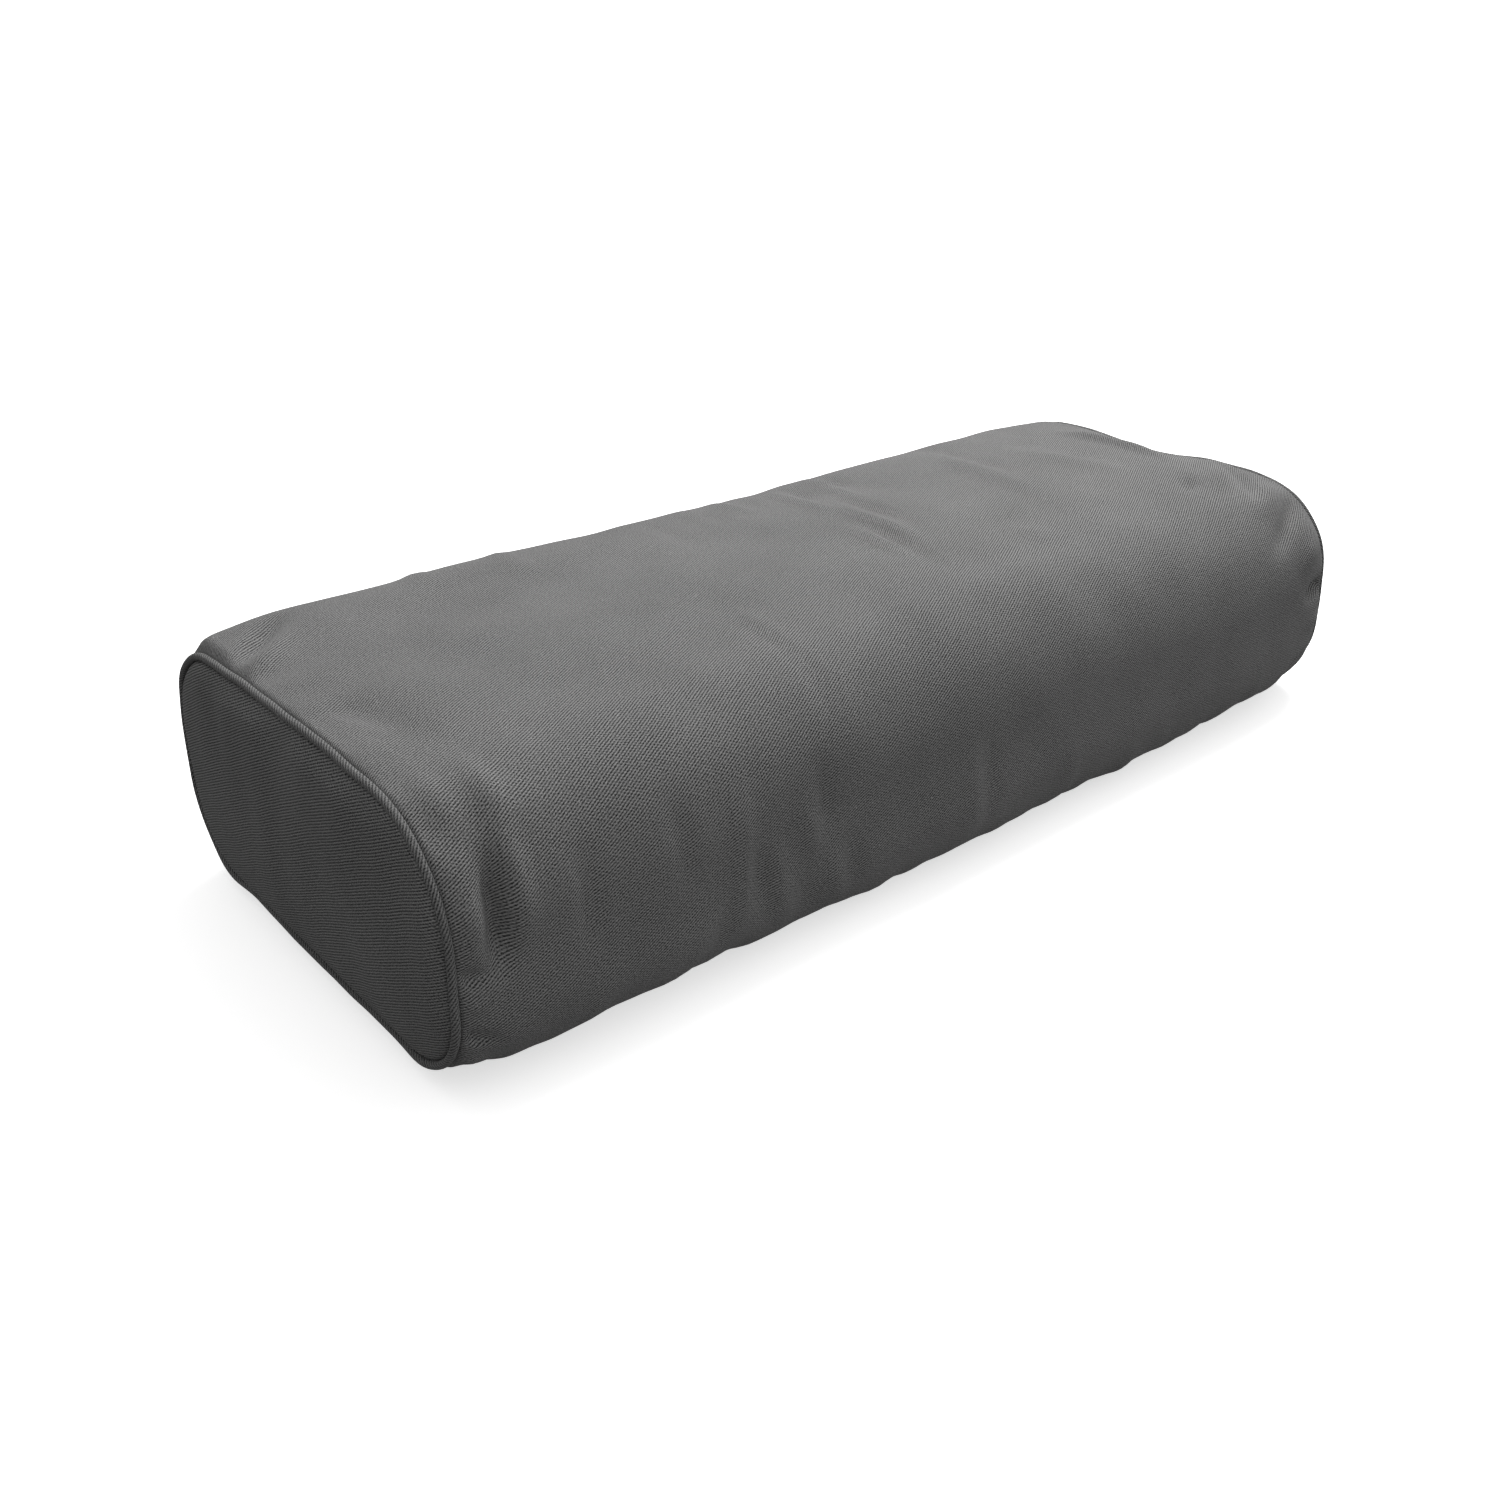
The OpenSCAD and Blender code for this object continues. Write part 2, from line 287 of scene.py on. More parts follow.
@dataclass
class CushionForm:
    """The bolster's soft shape, for the cover and for everything inside it."""

    outline: Outline
    seam_x: float
    seam_width: dict[int, float] = field(default_factory=lambda: {-1: 284.5 * MM, 1: 280 * MM})
    seam_low: dict[int, float] = field(default_factory=lambda: {-1: 8 * MM, 1: 4 * MM})
    seam_high: dict[int, float] = field(default_factory=lambda: {-1: 147 * MM, 1: 146 * MM})
    seam_shift: dict[int, float] = field(default_factory=lambda: {-1: -3.5 * MM, 1: 0.0})
    seam_dip: dict[int, float] = field(default_factory=lambda: {-1: 1.5 * MM, 1: 8.0 * MM})
    dip_middle: float = 8 * MM
    dip_half: float = 52 * MM
    drape: float = 1.7
    broad_lumps: float = 0.9
    small_lumps: float = 0.30
    gathers: float = 0.85
    gather_reach: float = 9 * MM
    ripples: float = 0.8
    shoulder: float = 58 * MM
    shoulder_slope: float = 0.94
    calm_at_seam: float = 20 * MM
    zip_half: float = 260 * MM

    def seam_share(self, x: Array) -> Array:
        """How far the section has drawn in towards the end seam's smaller one, from 0 to 1."""
        reach = np.clip((np.abs(x) - self.seam_x) / self.shoulder + 1, 0, 1) * self.shoulder_slope
        return (1 - np.sqrt(1 - reach**2)) / (1 - math.sqrt(1 - self.shoulder_slope**2))

    def seam_section(self, side: Array, y: Array, z: Array) -> tuple[Array, Array]:
        """A point of the full section, moved to the end seam's smaller one.

        Args:
            side: Negative for the left end, positive for the right end.
            y, z: The point.

        Returns:
            Its y and z at the seam.
        """
        low, high, width, shift, dip = (
            np.where(side < 0, at_end[-1], at_end[1])
            for at_end in (self.seam_low, self.seam_high, self.seam_width, self.seam_shift, self.seam_dip)
        )
        share = z / self.outline.height
        sag = dip * share**3 * np.exp(-(((y - self.dip_middle) / self.dip_half) ** 2))
        return y * width / self.outline.width + shift, low + share * (high - low) - sag

    def cut_share(self, x: Array) -> Array:
        """1 along the zip, and 0 near the ends, where the lower back edge is round."""
        return 1 - smooth_step(np.abs(x), self.zip_half + 12 * MM, self.seam_x - 20 * MM)

    def relief(self, x: Array, around: Array) -> Array:
        """How far lumps, folds and gathers lift the cover's surface."""
        from_seam = self.seam_x - np.abs(x)
        from_zip = np.minimum(around - self.outline.first, self.outline.last - around)
        lumps = self.broad_lumps * soft_noise(x, around, 90 * MM, 220 * MM, 3)
        lumps = lumps + self.small_lumps * soft_noise(x, around, 28 * MM, 70 * MM, 4)
        drapes = self.drape * sum(fold.relief(x, around) for fold in COVER_FOLDS)
        drapes = drapes + sum(fold.relief(x, around) for fold in BODY_SWELLS)
        pulls = soft_noise(x * 0.25, around + np.sign(x) * 1.7, 14 * MM, 34 * MM, 5, 10)
        reached = from_seam / self.gather_reach
        gathers = self.gathers * pulls * reached * np.exp(1 - reached)
        lower_edge = smooth_step(around, 232 * MM, 268 * MM) * (1 - smooth_step(around, 300 * MM, 340 * MM))
        ripples = self.ripples * lower_edge * soft_noise(x, around * 0.3, 22 * MM, 55 * MM, 6, 10)
        calm = smooth_step(from_seam, 0, self.calm_at_seam) * smooth_step(from_zip, 18 * MM, 44 * MM)
        held = smooth_step(from_seam, 0, 5 * MM) * smooth_step(from_zip, 14 * MM, 30 * MM)
        return (lumps + ripples) * MM * calm + drapes * held + gathers * MM * held

    def place(self, x: Array, around: Array, depth: Array | float = 0.0) -> Points:
        """Points on the form, or at a depth inside it.

        Args:
            x: Places along the bolster.
            around: Distances round the section.
            depth: Distances in from the cover's outer surface.

        Returns:
            x, y and z of the points.
        """
        y, z, normal_y, normal_z = self.outline.at(around, self.cut_share(x))
        out = self.relief(x, around) - depth
        y, z = y + normal_y * out, z + normal_z * out
        share = self.seam_share(x)
        seam_y, seam_z = self.seam_section(x, y, z)
        y, z = y + (seam_y - y) * share, z + (seam_z - z) * share
        return x + 0 * y, y, np.maximum(z, depth)


# ---- Making meshes ----


def new_piece(name: str, mesh: bpy.types.Mesh) -> bpy.types.Object:
    """Puts a mesh in the scene as a smooth-shaded object of that name."""
    mesh.polygons.foreach_set("use_smooth", [True] * len(mesh.polygons))
    piece = bpy.data.objects.new(name, mesh)
    bpy.context.scene.collection.objects.link(piece)
    return piece


def laid_grid(
    name: str,
    columns: Sequence[float] | Array,
    rows: Sequence[float] | Array,
    place: Place,
    uv: Chart | None = None,
    flip: bool = False,
) -> bpy.types.Object:
    """A piece that starts as a flat grid and is laid in place by a formula.

    Args:
        name: The piece's name.
        columns, rows: The parameters of the grid's columns and rows.
        place: Gives x, y and z for arrays of column and row parameters.
        uv: Gives the two UV coordinates in metres, or None to use the parameters themselves.
        flip: Turns the faces over.

    Returns:
        The object. Edges that the formula lays on each other are merged.
    """
    columns, rows = np.asarray(columns, float), np.asarray(rows, float)
    bm = bmesh.new()
    bmesh.ops.create_grid(bm, x_segments=len(columns) - 1, y_segments=len(rows) - 1, size=1)
    mesh = bpy.data.meshes.new(name)
    bm.to_mesh(mesh)
    bm.free()
    flat = np.zeros(len(mesh.vertices) * 3, np.float32)
    mesh.vertices.foreach_get("co", flat)
    flat = flat.reshape(-1, 3)
    column = columns[np.rint((flat[:, 0] + 1) / 2 * (len(columns) - 1)).astype(int)]
    row = rows[np.rint((flat[:, 1] + 1) / 2 * (len(rows) - 1)).astype(int)]
    points = np.stack(place(column, row), axis=1)
    mesh.vertices.foreach_set("co", points.astype(np.float32).ravel())
    corner = np.zeros(len(mesh.loops), np.int32)
    mesh.loops.foreach_get("vertex_index", corner)
    chart = np.stack(uv(column, row) if uv else (column, row), axis=1)
    mesh.uv_layers.new(name="cloth").data.foreach_set("uv", chart[corner].astype(np.float32).ravel())
    bm = bmesh.new()
    bm.from_mesh(mesh)
    bmesh.ops.remove_doubles(bm, verts=bm.verts, dist=MERGED)
    if flip:
        bmesh.ops.reverse_faces(bm, faces=bm.faces)
    bm.to_mesh(mesh)
    bm.free()
    return new_piece(name, mesh)


def close_ends(piece: bpy.types.Object) -> None:
    """Fills the open ends of a tube."""
    bm = bmesh.new()
    bm.from_mesh(piece.data)
    bmesh.ops.holes_fill(bm, edges=[edge for edge in bm.edges if edge.is_boundary], sides=0)
    bm.to_mesh(piece.data)
    bm.free()


def thicken(piece: bpy.types.Object, thickness: float, offset: float = -1.0) -> None:
    """Gives a sheet its thickness, inwards from its face unless offset says otherwise."""
    wall = piece.modifiers.new("thickness", "SOLIDIFY")
    wall.thickness, wall.offset, wall.use_quality_normals = thickness, offset, True


def joined(name: str, pieces: Sequence[bpy.types.Object]) -> bpy.types.Object:
    """Joins meshes into one piece of that name."""
    bm = bmesh.new()
    for piece in pieces:
        bm.from_mesh(piece.data)
        bpy.data.objects.remove(piece)
    mesh = bpy.data.meshes.new(name)
    bm.to_mesh(mesh)
    bm.free()
    return new_piece(name, mesh)


def spaced(start: float, end: float, step: float) -> Array:
    """Evenly spaced values from start to end, about step apart."""
    return np.linspace(start, end, max(2, round(abs(end - start) / step) + 1))


def dress(piece: bpy.types.Object, finish: bpy.types.Material, slot: str, body: str, *nodes: str) -> None:
    """Gives a piece its finish and its body, and hides the nodes that it stands for."""
    piece.data.materials.clear()
    piece.data.materials.append(finish)
    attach(piece, body)
    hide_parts(*nodes)
    log.info("%s: %d faces, rides %s", piece.name, len(piece.data.polygons), body)


def refined(name: str, node: str, edge: float) -> bpy.types.Object:
    """A copy of a metal CAD piece with its edges rounded.

    Args:
        name: The new piece's name.
        node: The CAD node that it is copied from.
        edge: The radius of the rounded edges.

    Returns:
        The new object.
    """
    bm = bmesh.new()
    bm.from_mesh(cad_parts[node].data)
    bmesh.ops.remove_doubles(bm, verts=bm.verts, dist=MERGED)
    bmesh.ops.dissolve_limit(bm, angle_limit=math.radians(1), verts=bm.verts, edges=bm.edges)
    mesh = bpy.data.meshes.new(name)
    bm.to_mesh(mesh)
    bm.free()
    piece = new_piece(name, mesh)
    rounding = piece.modifiers.new("rounded edges", "BEVEL")
    rounding.width, rounding.segments, rounding.limit_method = edge, 2, "ANGLE"
    rounding.angle_limit, rounding.harden_normals = math.radians(35), True
    return piece


@dataclass(frozen=True)
class Settling:
    """A short cloth simulation that lets cloth with a little to spare swell slightly between its seams."""

    frames: int = 20
    pressure: float = 4.0
    spare: float = 0.03
    levels: int = 24
    most_in: float = 1.8 * MM
    most_out: float = 3.0 * MM

    def weigh(self, piece: bpy.types.Object, name: str, weights: Array) -> str:
        """Puts weights from 0 to 1 in a vertex group of that name."""
        group = piece.vertex_groups.new(name=name)
        level = np.rint(np.clip(weights, 0, 1) * self.levels).astype(int)
        for step in range(1, self.levels + 1):
            group.add(np.flatnonzero(level == step).tolist(), step / self.levels, "REPLACE")
        return group.name

    def run(self, piece: bpy.types.Object, held: Array, gathered: Array) -> None:
        """Simulates the cloth and keeps where it comes to rest.

        Args:
            piece: The sheet, before it is thickened.
            held: How firmly each vertex keeps its place, from 0 to 1.
            gathered: How much of the spare cloth each vertex has, from 0 to 1.
        """
        cloth = piece.modifiers.new("settling", "CLOTH")
        make = cloth.settings
        make.vertex_group_mass = self.weigh(piece, "held", held)
        make.vertex_group_shrink = self.weigh(piece, "gathered", gathered)
        make.shrink_min, make.shrink_max = 0.0, -self.spare
        make.quality, make.mass, make.pin_stiffness = 6, 0.3, 1.0
        make.tension_stiffness = make.compression_stiffness = 15.0
        make.shear_stiffness, make.bending_stiffness = 5.0, 3.0
        make.use_pressure, make.uniform_pressure_force = True, self.pressure
        make.effector_weights.gravity = 0.0
        cloth.collision_settings.use_collision = False
        cloth.point_cache.frame_start, cloth.point_cache.frame_end = 1, self.frames
        scene = bpy.context.scene
        for number in range(1, self.frames + 1):
            scene.frame_set(number)
        settled = piece.evaluated_get(bpy.context.evaluated_depsgraph_get()).data
        count = len(piece.data.vertices)
        before, after = np.zeros(count * 3, np.float32), np.zeros(count * 3, np.float32)
        out = np.zeros(count * 3, np.float32)
        piece.data.vertices.foreach_get("co", before)
        piece.data.vertices.foreach_get("normal", out)
        settled.vertices.foreach_get("co", after)
        before, after, out = (values.reshape(-1, 3) for values in (before, after, out))
        lift = np.sum((after - before) * out, axis=1)
        most = np.where(lift > 0, self.most_out, self.most_in)
        kept = before + out * (most * np.tanh(lift / most))[:, None]
        scene.frame_set(1)
        piece.modifiers.remove(cloth)
        piece.vertex_groups.clear()
        piece.data.vertices.foreach_set("co", kept.astype(np.float32).ravel())
        piece.data.update()
        lifts = (lift.min() / MM, lift.max() / MM, float(np.sqrt(np.mean(lift**2))) / MM)
        log.info("%s settled: lift %.2f to %.2f mm, rms %.2f mm", piece.name, *lifts)


# ---- Finishes ----


class Shader:
    """One material's node tree, with short calls to add to it."""

    def __init__(self, name: str) -> None:
        """Starts a material with a Principled shader."""
        self.material = bpy.data.materials.new(name)
        self.material.use_nodes = True
        self.tree = self.material.node_tree
        self.tree.nodes.clear()
        self.surface = self.tree.nodes.new("ShaderNodeBsdfPrincipled")
        output = self.tree.nodes.new("ShaderNodeOutputMaterial")
        self.tree.links.new(self.surface.outputs["BSDF"], output.inputs["Surface"])

    def add(self, kind: str, *inputs: object, **settings: object) -> Socket:
        """Adds a node.

        Args:
            kind: The node's type, without its ShaderNode prefix.
            inputs: (input's name or number, a socket to link or a value to set) pairs.
            settings: The node's own properties.

        Returns:
            The node's first output.
        """
        node = self.tree.nodes.new("ShaderNode" + kind)
        for key, value in settings.items():
            setattr(node, key, value)
        for key, value in inputs:
            self.feed(node.inputs[key], value)
        return node.outputs[0]

    def feed(self, socket: Socket, value: object) -> None:
        """Links a socket to an input, or sets its value."""
        if isinstance(value, Socket):
            self.tree.links.new(value, socket)
        else:
            socket.default_value = value

    def surface_is(self, **inputs: object) -> None:
        """Sets or links the shader's inputs, whose names are given with underscores for spaces."""
        for key, value in inputs.items():
            self.feed(self.surface.inputs[key.replace("_", " ")], value)

    def maths(self, operation: str, first: object, second: object = 0.0, third: object = 0.0) -> Socket:
        """A Math node's result."""
        return self.add("Math", (0, first), (1, second), (2, third), operation=operation)

    def wave(self, phase: Socket) -> Socket:
        """A wave from 0 to 1, one for each whole number of phase."""
        swing = self.maths("SINE", self.maths("MULTIPLY", phase, math.tau))
        return self.maths("MULTIPLY_ADD", swing, 0.5, 0.5)

    def noise(self, where: Socket, scale: float, detail: float = 2.0) -> Socket:
        """Noise from 0 to 1, scale being in waves per unit of its coordinates."""
        return self.add("TexNoise", ("Vector", where), ("Scale", scale), ("Detail", detail))

    def tint(self, share: Socket, *stops: tuple[float, Colour]) -> Socket:
        """A colour ramp through (position, colour) stops."""
        node = self.tree.nodes.new("ShaderNodeValToRGB")
        ramp = node.color_ramp
        while len(ramp.elements) < len(stops):
            ramp.elements.new(0.5)
        for element, (position, colour) in zip(ramp.elements, stops):
            element.position, element.color = position, (*colour, 1)
        self.tree.links.new(share, node.inputs[0])
        return node.outputs[0]

    def cloth_axes(self, turn: float, pitch: float) -> tuple[Socket, ...]:
        """The piece's UV map, turned, in threads of that pitch.

        Args:
            turn: How far the threads lean, in radians.
            pitch: The distance between threads, in metres.

        Returns:
            The turned vector, and its x and y.
        """
        chart = self.add("UVMap", uv_map="cloth")
        turned = self.add(
            "Mapping", ("Vector", chart), ("Rotation", (0, 0, -turn)), ("Scale", (1 / pitch, 1 / pitch, 1))
        )
        parts = self.add("SeparateXYZ", (0, turned)).node
        return turned, parts.outputs[0], parts.outputs[1]

    def bumped(self, height: Socket, strength: float, depth: float) -> Socket:
        """A normal bent by a height map, depth being in metres."""
        bump = self.add("Bump", ("Strength", strength), ("Distance", depth), ("Height", height))
        return bump


def grey(value: float, warmth: float = 0.0) -> Colour:
    """A grey, tinted a little towards red where warmth is positive."""
    return value * (1 + warmth), value, value * (1 - warmth)


@dataclass(frozen=True)
class Twill:
    """Cotton twill, with diagonal wales, uneven yarn, a few specks of lint, and grooves darkened as painted
    shade.
    """

    # The grooves' grey: the cloth's own tone, darkened far below the wales' as painted shade in the grooves
    groove: float
    wale: float
    pitch: float = 1.75 * MM
    lean: float = math.radians(30)
    depth: float = 0.35 * MM
    sheen: float = 0.12
    heather: float = 2.1
    lint: float = 0.30

    def material(self, name: str) -> bpy.types.Material:
        """Builds the finish."""
        made = Shader(name)
        turned, along, across = made.cloth_axes(self.lean, self.pitch)
        drift = made.noise(turned, 0.022, 2.0)
        yarn = made.noise(made.add("Mapping", ("Vector", turned), ("Scale", (0.8, 3.0, 1))), 1.0, 3.0)
        row = made.maths("ADD", across, made.maths("MULTIPLY", drift, 2.2))
        row = made.maths("ADD", row, made.maths("MULTIPLY", yarn, 0.3))
        wale = made.wave(row)
        slanted, raised = made.maths("MULTIPLY", along, 0.8), made.maths("MULTIPLY", across, 0.5)
        floats = made.wave(made.maths("ADD", slanted, raised))
        body = made.maths("MULTIPLY_ADD", floats, 0.22, made.maths("MULTIPLY", wale, 0.78))
        height = made.maths("MULTIPLY", body, made.maths("MULTIPLY_ADD", yarn, 0.6, 0.7))
        chart = made.add("UVMap", uv_map="cloth")
        wear = made.noise(chart, 14.0, 3.0)
        heather = made.noise(chart, 1300.0, 2.0)
        shade = made.maths("MULTIPLY_ADD", made.maths("SUBTRACT", wear, 0.5), 0.28, height)
        shade = made.maths("MULTIPLY_ADD", made.maths("SUBTRACT", heather, 0.5), self.heather, shade)
        # The ramp follows the wales' height, so the low grooves take a painted shade and the raised wales
        # stay light
        dark, light = grey(self.groove, -0.01), grey(self.wale, 0.01)
        colour = made.tint(shade, (0.0, dark), (0.45, grey((self.groove + self.wale) / 2)), (1.0, light))
        specks = made.add("TexVoronoi", ("Vector", chart), ("Scale", 430.0), ("Randomness", 1.0))
        rare = made.maths("GREATER_THAN", made.noise(chart, 190.0, 1.0), 0.62)
        speck = made.maths("MULTIPLY", made.maths("LESS_THAN", specks, 0.13), rare)
        lint = (*grey(self.lint), 1)
        linted = made.add("Mix", (0, speck), (6, colour), (7, lint), data_type="RGBA").node.outputs[2]
        made.surface_is(
            Base_Color=linted,
            Roughness=0.92,
            Specular_IOR_Level=0.18,
            Sheen_Weight=self.sheen,
            Sheen_Roughness=0.45,
            Normal=made.bumped(height, 1.0, self.depth),
        )
        return made.material


@dataclass(frozen=True)
class PlainWeave:
    """Plain-woven cloth, its threads crossing over and under."""

    shadow: Colour
    thread: Colour
    pitch: float
    depth: float = 0.15 * MM

    def material(self, name: str) -> bpy.types.Material:
        """Builds the finish."""
        made = Shader(name)
        turned, along, across = made.cloth_axes(0.0, self.pitch)
        uneven = made.noise(turned, 0.35, 3.0)
        warp = made.wave(made.maths("ADD", along, made.maths("MULTIPLY", uneven, 0.5)))
        weft = made.wave(made.maths("ADD", across, made.maths("MULTIPLY", uneven, 0.5)))
        height = made.maths("MAXIMUM", warp, weft)
        height = made.maths("MULTIPLY_ADD", uneven, 0.4, made.maths("MULTIPLY", height, 0.7))
        made.surface_is(
            Base_Color=made.tint(height, (0.25, self.shadow), (0.85, self.thread)),
            Roughness=0.9,
            Specular_IOR_Level=0.2,
            Sheen_Weight=0.1,
            Normal=made.bumped(height, 0.7, self.depth),
        )
        return made.material


@dataclass(frozen=True)
class TwistedYarn:
    """Spun yarn or cord, with fine slanting fibres."""

    shadow: Colour
    fibre: Colour
    pitch: float
    lean: float = math.radians(35)
    gloss: float = 0.25

    def material(self, name: str) -> bpy.types.Material:
        """Builds the finish."""
        made = Shader(name)
        turned, _, across = made.cloth_axes(self.lean, self.pitch)
        fuzz = made.noise(turned, 0.8, 4.0)
        ply = made.wave(made.maths("ADD", across, made.maths("MULTIPLY", fuzz, 0.8)))
        height = made.maths("MULTIPLY_ADD", fuzz, 0.5, made.maths("MULTIPLY", ply, 0.5))
        made.surface_is(
            Base_Color=made.tint(height, (0.2, self.shadow), (0.8, self.fibre)),
            Roughness=0.75,
            Specular_IOR_Level=self.gloss,
            Sheen_Weight=0.15,
            Normal=made.bumped(height, 0.6, 0.2 * MM),
        )
        return made.material


@dataclass(frozen=True)
class Soft:
    """Bonded fibre or open-cell foam, by the size of its clumps or cells."""

    shadow: Colour
    light: Colour
    cell: float
    depth: float
    glow: float

    def material(self, name: str) -> bpy.types.Material:
        """Builds the finish."""
        made = Shader(name)
        where = made.add("TexCoord").node.outputs["Object"]
        cells = made.add("TexVoronoi", ("Vector", where), ("Scale", 1 / self.cell))
        clumps = made.noise(where, 0.2 / self.cell, 4.0)
        height = made.maths("MULTIPLY_ADD", cells, 0.6, made.maths("MULTIPLY", clumps, 0.6))
        made.surface_is(
            Base_Color=made.tint(height, (0.15, self.shadow), (0.75, self.light)),
            Roughness=0.95,
            Specular_IOR_Level=0.15,
            Subsurface_Weight=self.glow,
            Subsurface_Radius=(0.004, 0.003, 0.002),
            Normal=made.bumped(height, 0.6, self.depth),
        )
        return made.material


@dataclass(frozen=True)
class Hard:
    """Plated zinc or drawn nylon, with fine marks and worn high spots."""

    low: Colour
    high: Colour
    metallic: float
    roughness: float
    mark: float = 0.6 * MM

    def material(self, name: str) -> bpy.types.Material:
        """Builds the finish."""
        made = Shader(name)
        where = made.add("TexCoord").node.outputs["Object"]
        brushed = made.add("Mapping", ("Vector", where), ("Scale", (0.25, 1.0, 1.0)))
        marks = made.noise(brushed, 1 / self.mark, 5.0)
        smooth, worn = self.roughness - 0.08, self.roughness + 0.12
        roughness = made.add("MapRange", ("Value", marks), ("To Min", smooth), ("To Max", worn))
        made.surface_is(
            Base_Color=made.tint(marks, (0.3, self.low), (0.7, self.high)),
            Metallic=self.metallic,
            Roughness=roughness,
            Normal=made.bumped(marks, 0.25, 0.05 * MM),
        )
        return made.material


# ---- Cover ----


@dataclass
class PanelMap:
    """Lays a square grid on the rounded shape of an end, ring by ring.

    A ring is inside the end's edge (0 at the middle, 1 at the edge), or turned under beyond it.
    """

    form: CushionForm
    side: int
    inset: float
    x_of: Callable[[Array, Array, Array, Array], Array]
    x_edge: float
    rings: int = 44
    hem: float = 0.0
    hem_radius: float = 1 * MM
    grain: float = 0.0

    def __post_init__(self) -> None:
        """Works out where the square's corners go round the edge, and the turned-under rings."""
        outline = self.form.outline
        half_pi = math.pi / 2
        corner = outline.width / 2 - outline.top_radius
        top_corner = corner + outline.top_radius * half_pi / 2
        side = outline.height - outline.top_radius - outline.bottom_radius
        low_corner = corner + outline.top_radius * half_pi + side + outline.bottom_radius * half_pi / 2
        bottom = outline.width - 2 * outline.bottom_radius + outline.bottom_radius * half_pi
        whole = outline.last - outline.first
        self.corners = (-top_corner, top_corner, low_corner, low_corner + bottom, whole - top_corner)
        turned = []
        if self.hem:
            radius, bends = self.hem_radius, (0.5, 1.05, half_pi)
            turned = [(radius * (1 - math.cos(bend)), radius * math.sin(bend)) for bend in bends]
            turned += [(offset, self.hem_radius) for offset in (self.hem / 3, self.hem * 2 / 3, self.hem)]
        self.turned = np.array([(0.0, 0.0)] + turned)

    def place(self, column: Array, row: Array) -> Points:
        """The points of the grid, whose columns and rows are numbered from minus to plus the last ring."""
        ring = np.maximum(np.abs(column), np.abs(row))
        safe = np.maximum(ring, 1e-9)
        # Sides of the square: top, front, bottom, back, each run through in the order of the outline
        sides = (
            (row >= np.abs(column), -column), (column <= -np.abs(row), -row),
            (-row >= np.abs(column), column), (column >= np.abs(row), row),
        )
        around = np.zeros_like(ring)
        for number, (inside, run) in enumerate(sides):
            share = (run / safe + 1) / 2
            low, high = self.corners[number], self.corners[number + 1]
            around = np.where(inside, low + (high - low) * share, around)
        outline = self.form.outline
        whole = outline.last - outline.first
        around = (around - outline.first) % whole + outline.first
        y, z, normal_y, normal_z = outline.at(around, 0.0)
        middle = outline.height / 2
        y, z = self.form.seam_section(self.side, y - normal_y * self.inset, z - normal_z * self.inset)
        z = z - middle
        share = np.minimum(ring / self.rings, 1) ** 0.85
        beyond = np.clip(ring - self.rings, 0, len(self.turned) - 1).astype(int)
        offset, drop = self.turned[beyond, 0], self.turned[beyond, 1]
        from_edge = (1 - share) * (y * normal_y + z * normal_z)
        y, z = y * share - normal_y * offset, z * share - normal_z * offset
        x = self.x_of(y, z, from_edge, share)
        return np.where(ring > self.rings, self.x_edge - drop, x), y, z + middle

    def build(self, name: str, end: End) -> bpy.types.Object:
        """Makes the panel for one end, its face outwards."""
        last = self.rings + len(self.turned) - 1
        steps = np.arange(-last, last + 1)

        def place(column: Array, row: Array) -> Points:
            """The panel's points, mirrored to the end that it is on."""
            x, y, z = self.place(column, row)
            return end.value * x, y, z

        def chart(column: Array, row: Array) -> tuple[Array, Array]:
            """The flat cloth as seen from outside the end."""
            _, y, z = self.place(column, row)
            across, cosine, sine = end.value * y, math.cos(self.grain), math.sin(self.grain)
            return across * cosine - z * sine, across * sine + z * cosine

        return laid_grid(name, steps, steps, place, chart, flip=end is End.LEFT)


